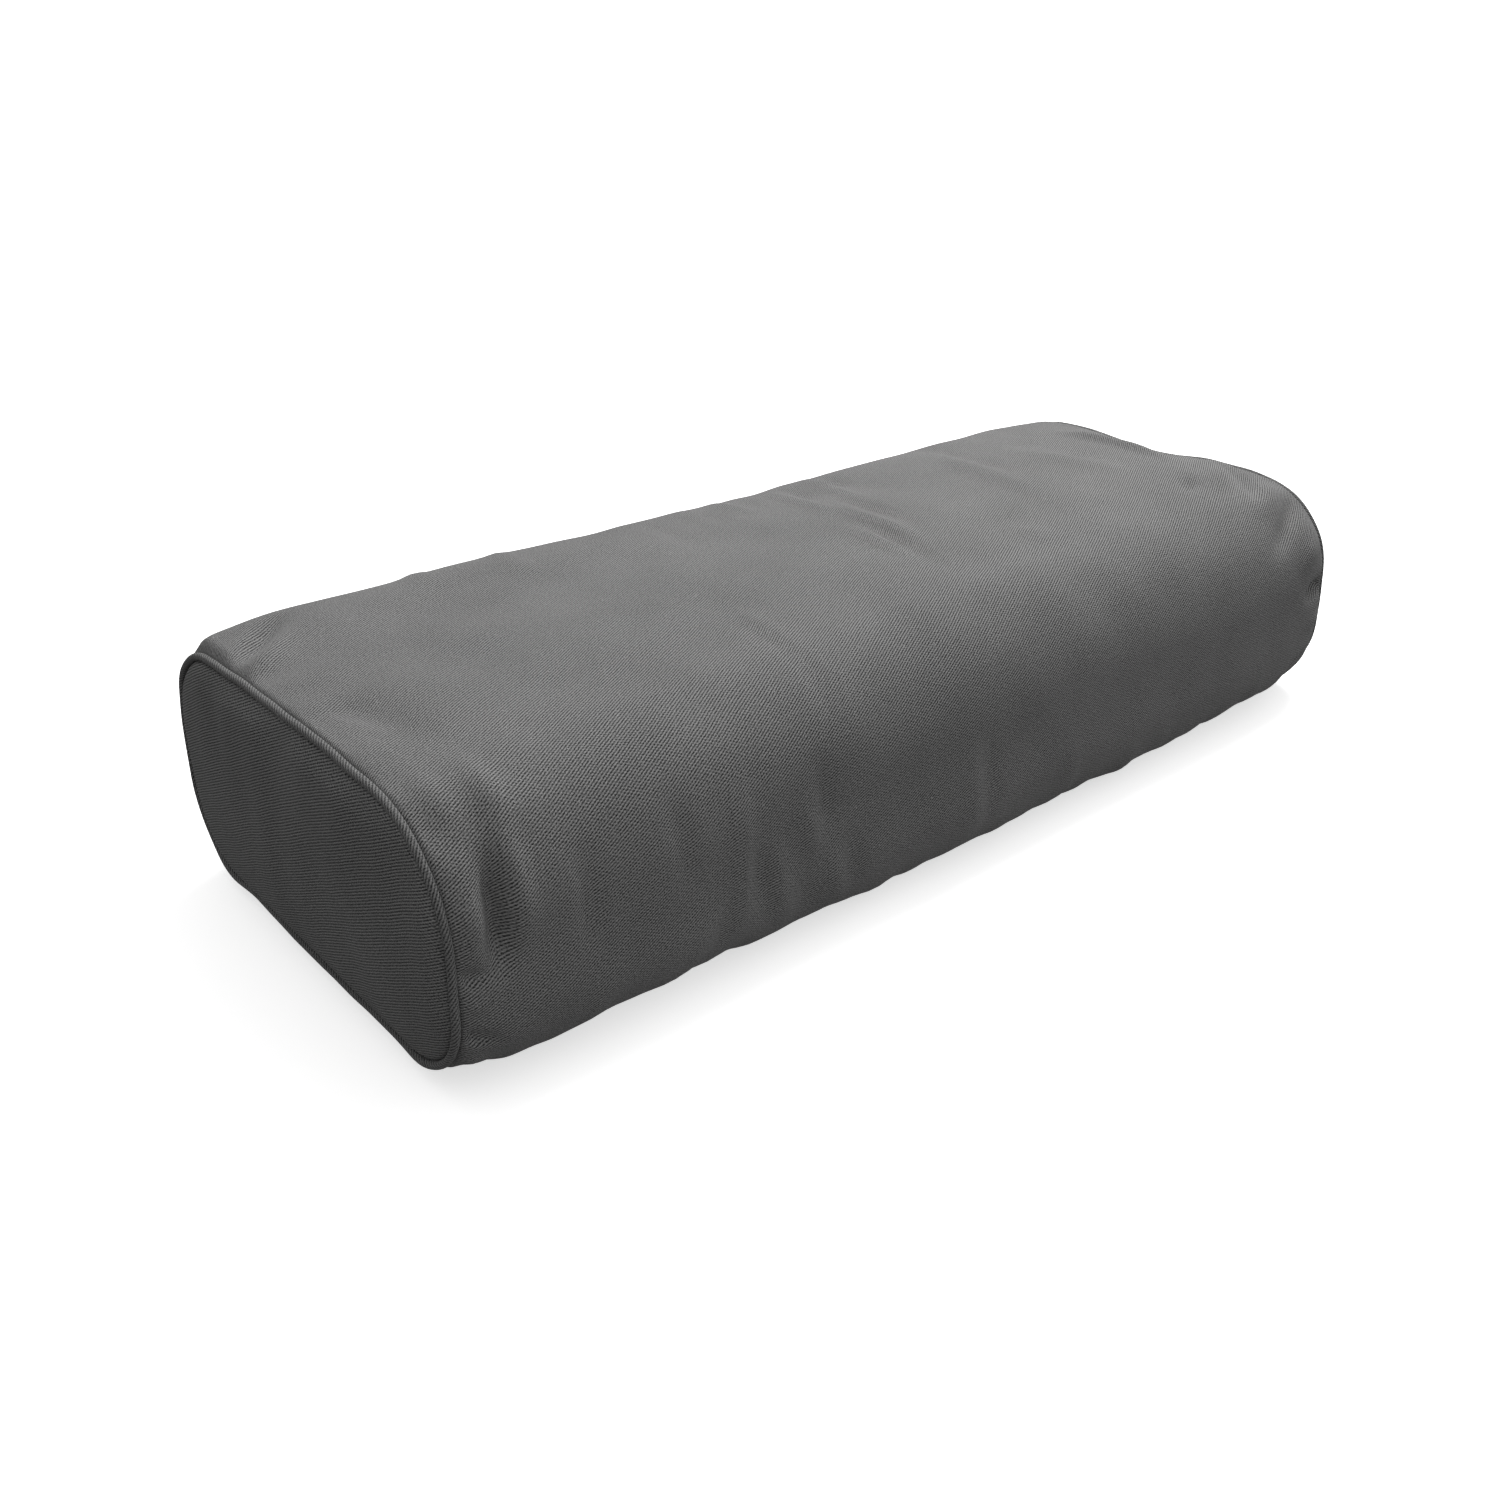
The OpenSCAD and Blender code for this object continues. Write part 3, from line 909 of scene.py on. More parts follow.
@dataclass
class Cover:
    """The twill cover: its wrap, end panels, piping and the seams at the ends."""

    form: CushionForm
    cloth: float = 0.9 * MM
    margin: float = 12 * MM
    turn: float = 2.4 * MM
    hem: float = 11 * MM
    fold_radius: float = 1 * MM
    slot_half: float = 5.5 * MM
    piping_radius: float = 2.0 * MM
    strip: float = 0.7 * MM
    piping_inset: float = 1.9 * MM
    piping_gap: float = 0.15 * MM
    wander_start: float = 30 * MM
    bulge: float = 8.5 * MM
    crown_share: float = 0.55
    lip_share: float = 0.36
    lip_reach: float = 16 * MM
    roll: float = 1.3 * MM
    roll_reach: float = 3 * MM
    panel_edge: float = 1.2 * MM
    panel_gap: float = 0.2 * MM
    panel_share: float = 0.93
    seam_inset: float = 6.6 * MM
    seam_middle: float = 0.7 * MM
    seam_faces: tuple[float, float] = (-1.35 * MM, 2.75 * MM)
    stitch: float = 3.0 * MM
    thread: float = 0.22 * MM
    settling: Settling = Settling()
    twill: Twill = field(default_factory=lambda: Twill(groove=0.012, wale=0.240, pitch=1.4 * MM))
    grain: float = math.radians(4)
    bias_twill: Twill = field(
        default_factory=lambda: Twill(
            groove=0.018, wale=0.190, pitch=1.3 * MM, lean=math.radians(62), depth=0.25 * MM
        )
    )
    cotton: TwistedYarn = field(
        default_factory=lambda: TwistedYarn(grey(0.55, 0.05), grey(0.82, 0.05), pitch=0.5 * MM)
    )
    sewing_thread: TwistedYarn = field(
        default_factory=lambda: TwistedYarn(grey(0.05), grey(0.17), pitch=0.25 * MM, gloss=0.4)
    )

    def build(self) -> None:
        """Makes every piece of the cover."""
        twill = self.twill.material("cover_twill")
        bias = self.bias_twill.material("piping_twill")
        cotton = self.cotton.material("cotton_cord")
        thread = self.sewing_thread.material("sewing_thread")
        wrap = self.wrap()
        dress(wrap, twill, "cover_cloth", "cushion", "cover_wrap")
        for end in End:
            panel = self.panel(end)
            dress(panel, twill, "cover_cloth", "cushion", f"end_panel_{end.word}")
            dress(self.piping(end), bias, "piping_cloth", "cushion", f"piping_{end.word}")
            dress(self.cord(end), cotton, "cotton_cord", "cushion", f"piping_cord_{end.word}")
            dress(self.seam(end), thread, "thread", "cushion", f"end_seam_{end.word}")

    def wrap_columns(self) -> Array:
        """Places along the wrap's cloth, closer together near the seams, with the turned-in margins."""
        edge = self.form.seam_x - self.turn
        shoulder = self.form.seam_x - 62 * MM
        corner = edge + self.turn * math.pi / 2
        half = np.concatenate([
            spaced(0, shoulder, 5.4 * MM), spaced(shoulder, edge, 1.8 * MM)[1:],
            spaced(edge, corner, self.turn / 2)[1:], spaced(corner, corner + self.margin, 4 * MM)[1:],
        ])
        return np.concatenate([-half[:0:-1], half])

    def wrap_rows(self) -> Array:
        """Numbers from 0 to 1 round the wrap, and beyond them the turned-under hems' steps."""
        hem_steps = np.arange(1, len(self.hem_path()) + 1)
        return np.concatenate([-hem_steps[::-1], np.linspace(0, 1, 236), 1 + hem_steps])

    def hem_path(self) -> Array:
        """The hem's fold and its turned-under strip, as (distance from the folded edge, depth)."""
        radius = self.fold_radius
        turn = np.linspace(0, math.pi, 6)[1:]
        fold = np.stack([radius - radius * np.sin(turn), radius - radius * np.cos(turn)], axis=1)
        strip = [(distance, 2 * radius) for distance in (self.hem / 3, self.hem * 2 / 3, self.hem)]
        return np.concatenate([fold, strip])

    def wrap_round(self, column: Array, row: Array) -> Points:
        """Where each row of the wrap lies round the section.

        Returns:
            The distance round, the depth under the face, and the distance round measured along the cloth.
        """
        half_slot = self.slot_half - (self.slot_half - 0.1 * MM) * smooth_step(
            np.abs(column), self.form.zip_half - 1 * MM, self.form.zip_half + 2 * MM)
        path = np.concatenate([[(self.fold_radius, 0.0)], self.hem_path()])
        along = np.concatenate([[0], np.cumsum(np.linalg.norm(np.diff(path, axis=0), axis=1))])
        step = np.clip(np.where(row < 0, -row, row - 1), 0, len(path) - 1).astype(int)
        offset, depth = path[step, 0], path[step, 1]
        first = self.form.outline.first + half_slot
        last = self.form.outline.last - half_slot
        share = np.clip(row, 0, 1)
        face = (first + self.fold_radius) * (1 - share) + (last - self.fold_radius) * share
        around = np.where(row < 0, first + offset, np.where(row > 1, last - offset, face))
        return around, depth, face + np.where(row < 0, -along[step], np.where(row > 1, along[step], 0))

    def wrap_place(self, column: Array, row: Array) -> Points:
        """The wrap's points: round the bolster, turned in at the end seams and under at the zip."""
        edge = self.form.seam_x - self.turn
        past = np.clip(np.abs(column) - edge, 0, None)
        angle = np.minimum(past / self.turn, math.pi / 2)
        inward = self.turn * (1 - np.cos(angle)) + np.clip(past - self.turn * math.pi / 2, 0, None)
        reach = np.minimum(np.abs(column), edge) + self.turn * np.sin(angle)
        around, depth, _ = self.wrap_round(column, row)
        x = np.sign(column) * (reach - depth * np.sin(angle))
        return self.form.place(x, around, inward + depth * np.cos(angle))

    def wrap(self) -> bpy.types.Object:
        """The long rectangle of twill that goes round the bolster."""

        def chart(column: Array, row: Array) -> tuple[Array, Array]:
            """The cloth as it was cut, up being round towards the back."""
            return column, -self.wrap_round(column, row)[2]

        piece = laid_grid(
            "cover_wrap_cloth", self.wrap_columns(), self.wrap_rows(), self.wrap_place, chart, flip=True
        )
        self.settle(piece)
        thicken(piece, self.cloth)
        return piece

    def settle(self, piece: bpy.types.Object) -> None:
        """Lets the wrap swell slightly between the seams, the zip and the face that it rests on."""
        corner = np.zeros(len(piece.data.loops), np.int32)
        piece.data.loops.foreach_get("vertex_index", corner)
        chart = np.zeros(len(corner) * 2, np.float32)
        piece.data.uv_layers["cloth"].data.foreach_get("uv", chart)
        place = np.zeros((len(piece.data.vertices), 2))
        place[corner] = chart.reshape(-1, 2)
        around, outline = -place[:, 1], self.form.outline
        from_seam = self.form.seam_x - self.turn - np.abs(place[:, 0])
        from_zip = np.minimum(around - outline.first, outline.last - around)
        rests = smooth_step(around, 262 * MM, 292 * MM) * (1 - smooth_step(around, 500 * MM, 520 * MM))
        held = 0.06 + 0.30 * smooth_step(from_seam, 12 * MM, 70 * MM)
        held = np.maximum(held, 1 - smooth_step(from_seam, 0.5 * MM, 5 * MM))
        held = np.maximum(held, np.maximum(1 - smooth_step(from_zip, 30 * MM, 46 * MM), rests))
        gathered = 0.35 + 0.65 * (1 - smooth_step(from_seam, 20 * MM, 60 * MM))
        self.settling.run(piece, held, gathered)

    def dome(self, end: End) -> Callable[[Array, Array, Array, Array], Array]:
        """The end panel's bulge, with upright ripples that differ from end to end."""
        edge_x = self.form.seam_x + self.panel_edge

        def x_of(y: Array, z: Array, from_edge: Array, share: Array) -> Array:
            """How far out each place of the panel lies."""
            lip = np.clip(from_edge / self.lip_reach, 0, 1)
            roll = np.clip(from_edge / self.roll_reach, 0, 1)
            rise = self.roll * np.sqrt(1 - (1 - roll) ** 2)
            rise = rise + self.lip_share * self.bulge * (1 - (1 - lip) ** 2)
            crown = self.crown_share * self.bulge * (1 - share**2)
            ripples = 0.55 * soft_noise(y, z * 0.22, 16 * MM, 46 * MM, 20 + end.value, 12)
            lumps = 1.0 * soft_noise(y, z, 60 * MM, 130 * MM, 30 + end.value)
            return edge_x + rise + crown + (ripples + lumps) * MM * smooth_step(from_edge, 0, 12 * MM)

        return x_of

    def panel(self, end: End) -> bpy.types.Object:
        """The twill end panel, bulging between its piped edges, with its margin turned under."""
        mapped = PanelMap(
            self.form,
            end.value,
            2 * self.piping_radius + self.panel_gap,
            self.dome(end),
            self.form.seam_x + self.panel_edge,
            hem=self.margin,
            grain=self.grain,
        )
        piece = mapped.build(f"end_panel_cloth_{end.word}", end)
        thicken(piece, self.cloth)
        return piece

    def round_rows(self, step: float) -> Array:
        """Distances once round the end seam."""
        return spaced(self.form.outline.first, self.form.outline.last, step)

    def ring_point(self, end: End, around: Array, out: Array, inset: Array) -> Points:
        """A point beside the end seam, so far out along X and in from the wrap's surface."""
        outline = self.form.outline
        y, z, normal_y, normal_z = outline.at(around, 0.0)
        y, z = self.form.seam_section(end.value, y, z)
        return end.value * (self.form.seam_x + out), y - normal_y * inset, z - normal_z * inset

    def piping_wander(self, end: End, around: Array) -> tuple[Array, Array]:
        """How far the piping strays from its line, out and in, being held where it starts and ends."""
        outline = self.form.outline
        held = smooth_step(around - outline.first, 0, self.wander_start)
        held = held * smooth_step(outline.last - around, 0, self.wander_start)
        out = 0.35 * MM * held * soft_noise(around, 0 * around, 25 * MM, 110 * MM, 40 + end.value)
        inset = 0.45 * MM * held * soft_noise(around, 0 * around, 25 * MM, 130 * MM, 50 + end.value)
        return out, inset

    def piping(self, end: End) -> bpy.types.Object:
        """The bias strip folded round the cord, with its two edges going in to the end seam."""
        radius = self.piping_radius - self.strip / 2
        centre_x, centre_in = radius + self.piping_gap, self.piping_inset
        turn = np.radians(np.linspace(180, -122, 22))
        loop = np.stack([centre_x + radius * np.cos(turn), centre_in - radius * np.sin(turn)], axis=1)
        near = [(centre_x - radius, depth) for depth in (self.margin, 8 * MM, 4 * MM)]
        far = [(centre_x - radius + self.strip, depth) for depth in (4.8 * MM, 8 * MM, self.margin)]
        path = np.concatenate([near, loop, far])
        lengths = np.concatenate([[0], np.cumsum(np.linalg.norm(np.diff(path, axis=0), axis=1))])

        def place(column: Array, row: Array) -> Points:
            """The strip's points, the columns being distances across it."""
            out, inset = np.interp(column, lengths, path[:, 0]), np.interp(column, lengths, path[:, 1])
            wander_out, wander_in = self.piping_wander(end, row)
            loose = 1 - smooth_step(inset, 4 * MM, 8 * MM)
            return self.ring_point(end, row, out + wander_out * loose, inset + wander_in * loose)

        piece = laid_grid(
            f"piping_strip_{end.word}", lengths, self.round_rows(2 * MM), place, flip=end is End.RIGHT
        )
        thicken(piece, self.strip, 0.0)
        return piece

    def cord(self, end: End) -> bpy.types.Object:
        """The three-ply cotton cord inside the piping."""
        radius = self.piping_radius - self.strip - 0.06 * MM
        centre_x = self.piping_radius - self.strip / 2 + self.piping_gap

        def place(column: Array, row: Array) -> Points:
            """The cord's points, the columns being turns round it."""
            angle = column * math.tau
            plies = np.abs(np.cos(1.5 * (angle - row / (9 * MM) * math.tau / 3 * 2)))
            size = radius * (0.82 + 0.18 * plies)
            wander_out, wander_in = self.piping_wander(end, row)
            out = centre_x + wander_out + size * np.cos(angle)
            return self.ring_point(end, row, out, self.piping_inset + wander_in - size * np.sin(angle))

        return laid_grid(
            f"piping_cotton_cord_{end.word}", np.linspace(0, 1, 17), self.round_rows(1.5 * MM), place,
            lambda column, row: (row, column * math.tau * radius), flip=end is End.RIGHT,
        )

    def seam(self, end: End) -> bpy.types.Object:
        """The lockstitch through the wrap's margin, the piping's edges and the panel's margin."""
        outline = self.form.outline
        stitches = round((outline.last - outline.first) / self.stitch)
        pitch = (outline.last - outline.first) / stitches

        def thread(face: float) -> bpy.types.Object:
            """One of the two threads, which lies on a face of the layers and dips at each hole."""

            def place(column: Array, row: Array) -> Points:
                """The thread's points, the columns being turns round it."""
                phase = (row - outline.first) / pitch % 1 - 0.5
                dip = np.exp(-((phase / 0.12) ** 2))
                angle = column * math.tau
                out = face + (self.seam_middle - face) * dip + self.thread * np.cos(angle)
                return self.ring_point(end, row, out, self.seam_inset - self.thread * np.sin(angle))

            rows = np.linspace(outline.first, outline.last, stitches * 8 + 1)
            chart: Chart = lambda column, row: (row, column * MM)
            return laid_grid("thread", np.linspace(0, 1, 6), rows, place, chart, flip=end is End.RIGHT)

        return joined(f"end_seam_stitches_{end.word}", [thread(face) for face in self.seam_faces])


# ---- Zip ----


@dataclass
class ZipFastener:
    """The coil zip in the lower back edge: tapes, coils, stops, slider, pull and topstitching."""

    form: CushionForm
    tape_inner: float = 0.6 * MM
    tape_width: float = 14 * MM
    tape_thickness: float = 0.6 * MM
    tape_ribs: float = 0.1 * MM
    tape_face: float = -2.0 * MM
    wire: float = 0.3 * MM
    coil_pitch: float = 1.27 * MM
    coil_inner: float = 0.45 * MM
    coil_outer: float = 3.3 * MM
    coil_height: float = 2.05 * MM
    stitch_row: float = 8 * MM
    stitch_pitch: float = 3.4 * MM
    stitch_middle: float = -1.2 * MM
    stitch_faces: tuple[float, float] = (0.14 * MM, -2.75 * MM)
    thread: float = 0.24 * MM
    woven: PlainWeave = field(
        default_factory=lambda: PlainWeave(grey(0.014), grey(0.055), 0.55 * MM, 0.12 * MM)
    )
    nylon: Hard = field(default_factory=lambda: Hard(grey(0.02), grey(0.045), 0.0, 0.42))
    metal: Hard = field(default_factory=lambda: Hard(grey(0.26), grey(0.46, 0.01), 1.0, 0.34))
    sewing_thread: TwistedYarn = field(
        default_factory=lambda: TwistedYarn(grey(0.06), grey(0.20), pitch=0.25 * MM, gloss=0.4)
    )

    def at(self, x: Array, y: Array, z: Array) -> Points:
        """A point given in the zip's own frame: x along it, y downwards and z outwards."""
        out = self.form.outline.zip_out
        middle = self.form.outline.zip_middle
        return x + 0 * y, middle[0] + out[1] * y + out[0] * z, middle[1] - out[0] * y + out[1] * z

    def build(self) -> None:
        """Makes every piece of the zip."""
        woven, nylon = self.woven.material("zip_tape_weave"), self.nylon.material("zip_nylon")
        metal, thread = self.metal.material("zip_metal"), self.sewing_thread.material("topstitch_thread")
        for side in ZipSide:
            dress(self.tape(side), woven, "zip_tape", "cushion", f"zip_tape_{side.word}")
            dress(self.coil(side), nylon, "zip_coil", "cushion", f"zip_coil_{side.word}")
            dress(self.topstitch(side), thread, "thread", "cushion", f"topstitch_{side.word}")
        for node, body, edge in (
            ("zip_top_stops", "cushion", 0.15), ("zip_bottom_stop", "cushion", 0.15),
            ("zip_slider", "slider", 0.18), ("zip_pull", "pull", 0.2),
        ):
            dress(refined(node + "_metal", node, edge * MM), metal, "zip_metal", body, node)

    def tape(self, side: ZipSide) -> bpy.types.Object:
        """A woven tape, with a bead along its inner edge and fine ribs running along it."""
        low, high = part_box(f"zip_tape_{side.word}")

        def place(column: Array, row: Array) -> Points:
            """The tape's face, the rows being distances across it."""
            bead = 0.10 * MM * np.exp(-(((row - 1.1 * MM) / (0.6 * MM)) ** 2))
            ribs = 0.03 * MM * np.cos(math.tau * row / (1.6 * MM))
            height = self.tape_face + bead + ribs - self.tape_ribs
            return self.at(column, side.value * (self.tape_inner + row), height)

        rows = spaced(0, self.tape_width, 0.4 * MM)
        columns = spaced(low.x, high.x, 5 * MM)
        piece = laid_grid(f"zip_tape_woven_{side.word}", columns, rows, place, flip=side is ZipSide.LOWER)
        thicken(piece, self.tape_thickness - self.tape_ribs)
        return piece

    def coil(self, side: ZipSide) -> bpy.types.Object:
        """One side of the chain: a nylon coil of flattened turns with their heads towards the middle."""
        low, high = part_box(f"zip_coil_{side.word}")
        turns = int((high.x - low.x - 2 * self.wire) / self.coil_pitch) - 1
        half_y = (self.coil_outer - self.coil_inner) / 2 - self.wire
        half_z = self.coil_height / 2 - self.wire
        middle_y, middle_z = (self.coil_outer + self.coil_inner) / 2, self.tape_face + self.coil_height / 2
        start = low.x + self.wire + (self.coil_pitch / 2 if side is ZipSide.UPPER else 0)

        def place(column: Array, row: Array) -> Points:
            """The coil's points: columns are turns round the wire, and rows are turns of the coil."""
            around, angle = column * math.tau, row * math.tau
            head = 1 + 0.22 * smooth_step(-np.cos(angle), 0.5, 1.0)
            x = start + row * self.coil_pitch + self.wire * head * np.sin(around)
            y = middle_y + (half_y + self.wire * np.cos(around)) * np.cos(angle)
            z = middle_z + (half_z + self.wire * np.cos(around)) * np.sin(angle)
            return self.at(x, side.value * y, z)

        piece = laid_grid(
            f"zip_coil_teeth_{side.word}", np.linspace(0, 1, 6), np.linspace(0, turns, turns * 10 + 1), place,
            lambda column, row: (row * 8 * MM, column * 2 * MM), flip=side is ZipSide.LOWER,
        )
        close_ends(piece)
        return piece

    def topstitch(self, side: ZipSide) -> bpy.types.Object:
        """The lockstitch that holds the folded edge to the tape, seen as a row of stitches."""
        low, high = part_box(f"topstitch_{side.word}")
        count = int((high.x - low.x) / self.stitch_pitch)

        def thread(face: float) -> bpy.types.Object:
            """One of the two threads, which lies on a face of the layers and dips at each hole."""

            def place(column: Array, row: Array) -> Points:
                """The thread's points: columns are turns round it, and rows are stitches."""
                dip = np.exp(-(((row % 1 - 0.5) / 0.10) ** 2))
                around = column * math.tau
                slant = 0.12 * MM * np.sin(row * math.tau)
                y = side.value * (self.stitch_row + slant + self.thread * np.sin(around))
                z = face + (self.stitch_middle - face) * dip + self.thread * np.cos(around)
                return self.at(low.x + row * self.stitch_pitch, y, z)

            chart: Chart = lambda column, row: (row * 3 * MM, column * MM)
            rows = np.linspace(0, count, count * 10 + 1)
            made = laid_grid("thread", np.linspace(0, 1, 6), rows, place, chart, flip=side is ZipSide.UPPER)
            close_ends(made)
            return made

        return joined(f"topstitches_{side.word}", [thread(face) for face in self.stitch_faces])


# ---- Inner cushion ----


@dataclass
class InnerCushion:
    """The calico bag, the wadding and the foam core inside the cover."""

    form: CushionForm
    bag_depth: float = 3.8 * MM
    bag_zip_depth: float = 4.9 * MM
    bag_cloth: float = 0.5 * MM
    bag_x: float = 321.6 * MM
    bag_end_share: float = 0.92
    wadding_depth: float = 5.8 * MM
    core_depth: float = 26 * MM
    wadding_x: float = 319 * MM
    core_x: float = 299 * MM
    calico: PlainWeave = field(
        default_factory=lambda: PlainWeave((0.52, 0.46, 0.36), (0.82, 0.77, 0.66), 0.9 * MM)
    )
    fibre: Soft = field(
        default_factory=lambda: Soft((0.66, 0.65, 0.62), (0.90, 0.89, 0.86), 5 * MM, 0.8 * MM, 0.2)
    )
    foam: Soft = field(
        default_factory=lambda: Soft((0.52, 0.46, 0.26), (0.84, 0.78, 0.54), 1.2 * MM, 0.4 * MM, 0.1)
    )

    def build(self) -> None:
        """Makes every piece of the inner cushion."""
        calico, fibre = self.calico.material("calico"), self.fibre.material("wadding")
        foam = self.foam.material("foam")
        dress(self.bag_wrap(), calico, "calico", "cushion", "bag_wrap")
        dress(self.wadding_wrap(), fibre, "wadding", "cushion", "wadding_wrap")
        dress(self.core(), foam, "foam", "cushion", "foam_core")
        for end in End:
            dress(self.bag_end(end), calico, "calico", "cushion", f"bag_end_{end.word}")
            dress(self.wadding_end(end), fibre, "wadding", "cushion", f"wadding_end_{end.word}")

    def depth_at(self, around: Array, depth: float) -> Array:
        """A depth inside the cover, deeper behind the zip, where the chain and slider stand in."""
        outline = self.form.outline
        from_zip = np.minimum(around - outline.first, outline.last - around)
        return depth + (self.bag_zip_depth - self.bag_depth) * (1 - smooth_step(from_zip, 16 * MM, 34 * MM))

    def bag_wrap(self) -> bpy.types.Object:
        """The calico round the wadding, closed along the back."""
        outline = self.form.outline

        def place(column: Array, row: Array) -> Points:
            """The calico's points, the columns being places along it."""
            return self.form.place(column, row, self.depth_at(row, self.bag_depth))

        rows = spaced(outline.first, outline.last, 5 * MM)
        piece = laid_grid(
            "bag_wrap_calico", spaced(-self.bag_x, self.bag_x, 5 * MM), rows, place,
            lambda column, row: (column, -row), flip=True,
        )
        thicken(piece, self.bag_cloth)
        return piece

    def bag_end(self, end: End) -> bpy.types.Object:
        """The calico end, drawn over the wadding."""

        def x_of(y: Array, z: Array, from_edge: Array, share: Array) -> Array:
            """How far out each place of the calico lies."""
            lip = np.clip(from_edge / (9 * MM), 0, 1)
            return self.bag_x - 0.6 * MM + 4.5 * MM * np.sqrt(1 - (1 - lip) ** 2) + 2.5 * MM * (1 - share**2)

        mapped = PanelMap(self.form, end.value, 13.5 * MM, x_of, self.bag_x - 0.6 * MM, rings=30)
        piece = mapped.build(f"bag_end_calico_{end.word}", end)
        thicken(piece, self.bag_cloth)
        return piece

    def wadding_wrap(self) -> bpy.types.Object:
        """The wadding wrapped round the core: a thick soft tube."""
        outline = self.form.outline
        half, deep, shallow, corner = self.wadding_x, self.core_depth - 0.4 * MM, self.wadding_depth, 6 * MM
        path = []
        for x_side, depth_side, first in ((1, 0, 90), (1, 1, 0), (-1, 1, -90), (-1, 0, -180)):
            for turn in np.radians(np.linspace(first, first - 90, 6)):
                x = x_side * (half - corner) + corner * math.cos(turn)
                centre = shallow + corner if depth_side == 0 else deep - corner
                path.append((x, centre - corner * math.sin(turn)))
            ends = {(1, 1): spaced(half - corner, corner - half, 12 * MM)[1:-1],
                    (-1, 0): spaced(corner - half, half - corner, 8 * MM)[1:-1]}
            depth = deep if depth_side else shallow
            path += [(x, depth) for x in ends.get((x_side, depth_side), ())]
        path = np.array(path + path[:1])
        number = np.arange(len(path))

        def place(column: Array, row: Array) -> Points:
            """The wadding's points, the columns being steps round its own section."""
            x, depth = np.interp(column, number, path[:, 0]), np.interp(column, number, path[:, 1])
            fluff = 0.5 * MM * soft_noise(x, row, 18 * MM, 50 * MM, 60) * (depth > 8 * MM)
            return self.form.place(x, row, self.depth_at(row, depth) + fluff)

        rows = spaced(outline.first, outline.last, 6 * MM)
        piece = laid_grid("wadding_wrap_fibre", number, rows, place)
        return piece

    def wadding_end(self, end: End) -> bpy.types.Object:
        """The pad of wadding over one end of the core."""

        def x_of(y: Array, z: Array, from_edge: Array, share: Array) -> Array:
            """How far out each place of the pad lies."""
            lip = np.clip(from_edge / (12 * MM), 0, 1)
            fluff = 0.5 * MM * soft_noise(y, z, 20 * MM, 50 * MM, 70 + end.value)
            roll = 4 * MM * np.sqrt(1 - (1 - lip) ** 2)
            return self.wadding_x - 4 * MM + roll + 2 * MM * (1 - share**2) + fluff * lip

        mapped = PanelMap(self.form, end.value, self.core_depth + 0.4 * MM, x_of, self.wadding_x, rings=26)
        piece = mapped.build(f"wadding_end_fibre_{end.word}", end)
        thicken(piece, self.wadding_x - 4.6 * MM - self.core_x)
        return piece

    def core(self) -> bpy.types.Object:
        """The block of foam, cut to the bolster's section, with its edges just broken."""
        corner = 2.5 * MM
        turn = np.radians(np.linspace(0, 80, 5))
        ends = [
            (self.core_x - corner + corner * math.sin(bend), self.core_depth + corner * (1 - math.cos(bend)))
            for bend in turn
        ]
        xs = spaced(0, self.core_x - corner, 9 * MM)[:-1]
        half = np.array([(x, self.core_depth) for x in xs] + ends)
        path = np.concatenate([half[:0:-1] * (-1, 1), half])
        number = np.arange(len(path))

        def place(column: Array, row: Array) -> Points:
            """The foam's points, the columns being steps along it."""
            x, depth = np.interp(column, number, path[:, 0]), np.interp(column, number, path[:, 1])
            y, z, normal_y, normal_z = self.form.outline.at(row, 0.0)
            saw = 0.15 * MM * soft_noise(x, row, 8 * MM, 30 * MM, 80)
            return x, y - normal_y * (depth + saw), z - normal_z * (depth + saw)

        rows = spaced(self.form.outline.first, self.form.outline.last, 6 * MM)
        piece = laid_grid("foam_core_block", number, rows, place, flip=True)
        close_ends(piece)
        return piece


# ---- Studio ----


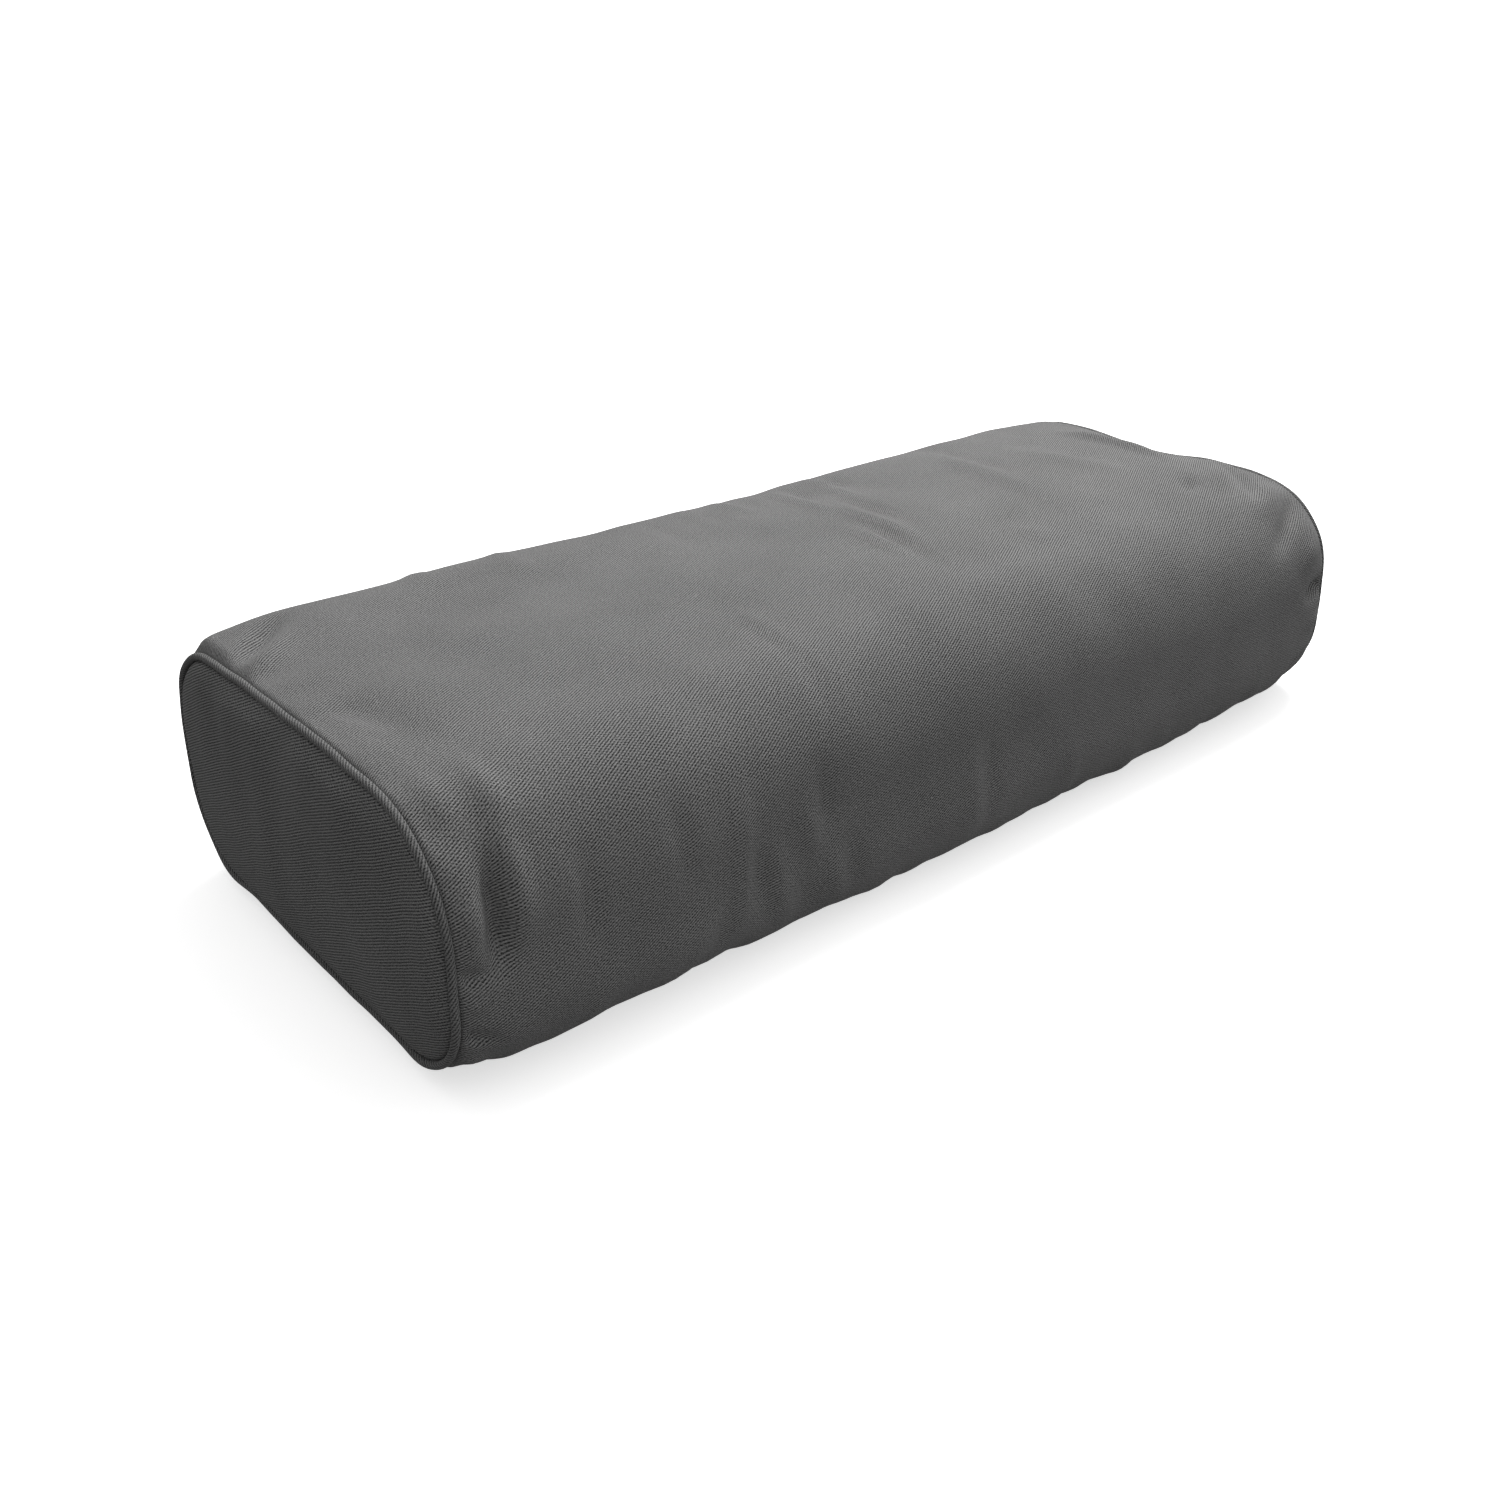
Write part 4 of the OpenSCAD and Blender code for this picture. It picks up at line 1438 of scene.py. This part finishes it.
@dataclass
class Studio:
    """A pale floor, soft light and the camera."""

    target: Vector
    azimuth: float = math.radians(-41.35)
    elevation: float = math.radians(24.1)
    distance: float = 0.938
    lens: float = 37.35
    shift: tuple[float, float] = (-0.0434, -0.0623)
    floor_radius: float = 60.0
    floor_tone: float = 0.86
    floor_glow: float = 0.6
    floor_drop: float = 0.2 * MM
    box_place: Vector = field(default_factory=lambda: Vector((0.78, 0.42, 1.45)))
    box_size: float = 1.3
    box_power: float = 32.0
    sky: float = 0.37
    sky_slope: tuple[float, float, float] = (0.17, -0.17, 0.50)
    sky_dimmest: float = 0.06

    def build(self) -> None:
        """Sets up the floor, the lights, the sky and the camera."""
        self.floor()
        self.lights()
        self.camera()
        bpy.context.scene.view_settings.view_transform = "Standard"

    def floor(self) -> None:
        """A plain round floor that the object stands on."""
        bm = bmesh.new()
        bmesh.ops.create_circle(bm, cap_ends=True, segments=96, radius=self.floor_radius)
        mesh = bpy.data.meshes.new("studio_floor")
        bm.to_mesh(mesh)
        bm.free()
        floor = new_piece("studio_floor", mesh)
        shader = Shader("studio_floor")
        shader.surface_is(Base_Color=(*grey(self.floor_tone), 1), Roughness=1.0, Specular_IOR_Level=0.0)
        shader.surface_is(Emission_Color=(1, 1, 1, 1), Emission_Strength=self.floor_glow)
        mesh.materials.append(shader.material)
        floor.visible_diffuse = floor.visible_glossy = False
        floor.location.z = -self.floor_drop

    def lights(self) -> None:
        """A broad soft box above and to the right, and a sky that is dimmer low down and to the left."""
        lamp = bpy.data.lights.new("soft_box", "AREA")
        lamp.shape, lamp.size, lamp.energy = "DISK", self.box_size, self.box_power
        light = bpy.data.objects.new("soft_box", lamp)
        light.location = self.box_place
        light.rotation_mode = "QUATERNION"
        light.rotation_quaternion = (self.box_place - self.target).to_track_quat("Z", "Y")
        bpy.context.scene.collection.objects.link(light)
        world = bpy.data.worlds.new("soft_sky")
        world.use_nodes = True
        tree = world.node_tree
        where = tree.nodes.new("ShaderNodeTexCoord")
        slope = tree.nodes.new("ShaderNodeVectorMath")
        slope.operation = "DOT_PRODUCT"
        slope.inputs[1].default_value = self.sky_slope
        level = tree.nodes.new("ShaderNodeMapRange")
        tree.links.new(where.outputs["Generated"], slope.inputs[0])
        tree.links.new(slope.outputs["Value"], level.inputs["Value"])
        reach = {
            "From Min": self.sky_dimmest - self.sky,
            "From Max": 1.0,
            "To Min": self.sky_dimmest,
            "To Max": self.sky + 1.0,
        }
        for key, value in reach.items():
            level.inputs[key].default_value = value
        tree.links.new(level.outputs[0], tree.nodes["Background"].inputs["Strength"])
        tree.nodes["Background"].inputs["Color"].default_value = (1, 1, 1, 1)
        bpy.context.scene.world = world

    def camera(self) -> None:
        """The camera, looking down at the bolster's left end and front."""
        back = Vector((
            math.sin(self.azimuth) * math.cos(self.elevation),
            -math.cos(self.azimuth) * math.cos(self.elevation),
            math.sin(self.elevation),
        ))
        lens = bpy.data.cameras.new("camera")
        lens.lens, lens.sensor_width = self.lens, 36.0
        lens.shift_x, lens.shift_y = self.shift
        lens.clip_start, lens.clip_end = 0.02, 200.0
        camera = bpy.data.objects.new("camera", lens)
        camera.location = self.target + back * self.distance
        camera.rotation_mode = "QUATERNION"
        camera.rotation_quaternion = back.to_track_quat("Z", "Y")
        bpy.context.scene.collection.objects.link(camera)
        bpy.context.scene.camera = camera


def main() -> None:
    """Builds the bolster and its studio."""
    logging.basicConfig(level=logging.INFO, format="%(name)s: %(message)s")
    low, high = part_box("cover_wrap")
    outline = Outline(width=high.y - low.y, height=high.z)
    form = CushionForm(outline, seam_x=high.x)
    Cover(form).build()
    ZipFastener(form).build()
    InnerCushion(form).build()
    Studio(Vector((0, 0, high.z / 2))).build()


if __name__ == "__main__":
    main()
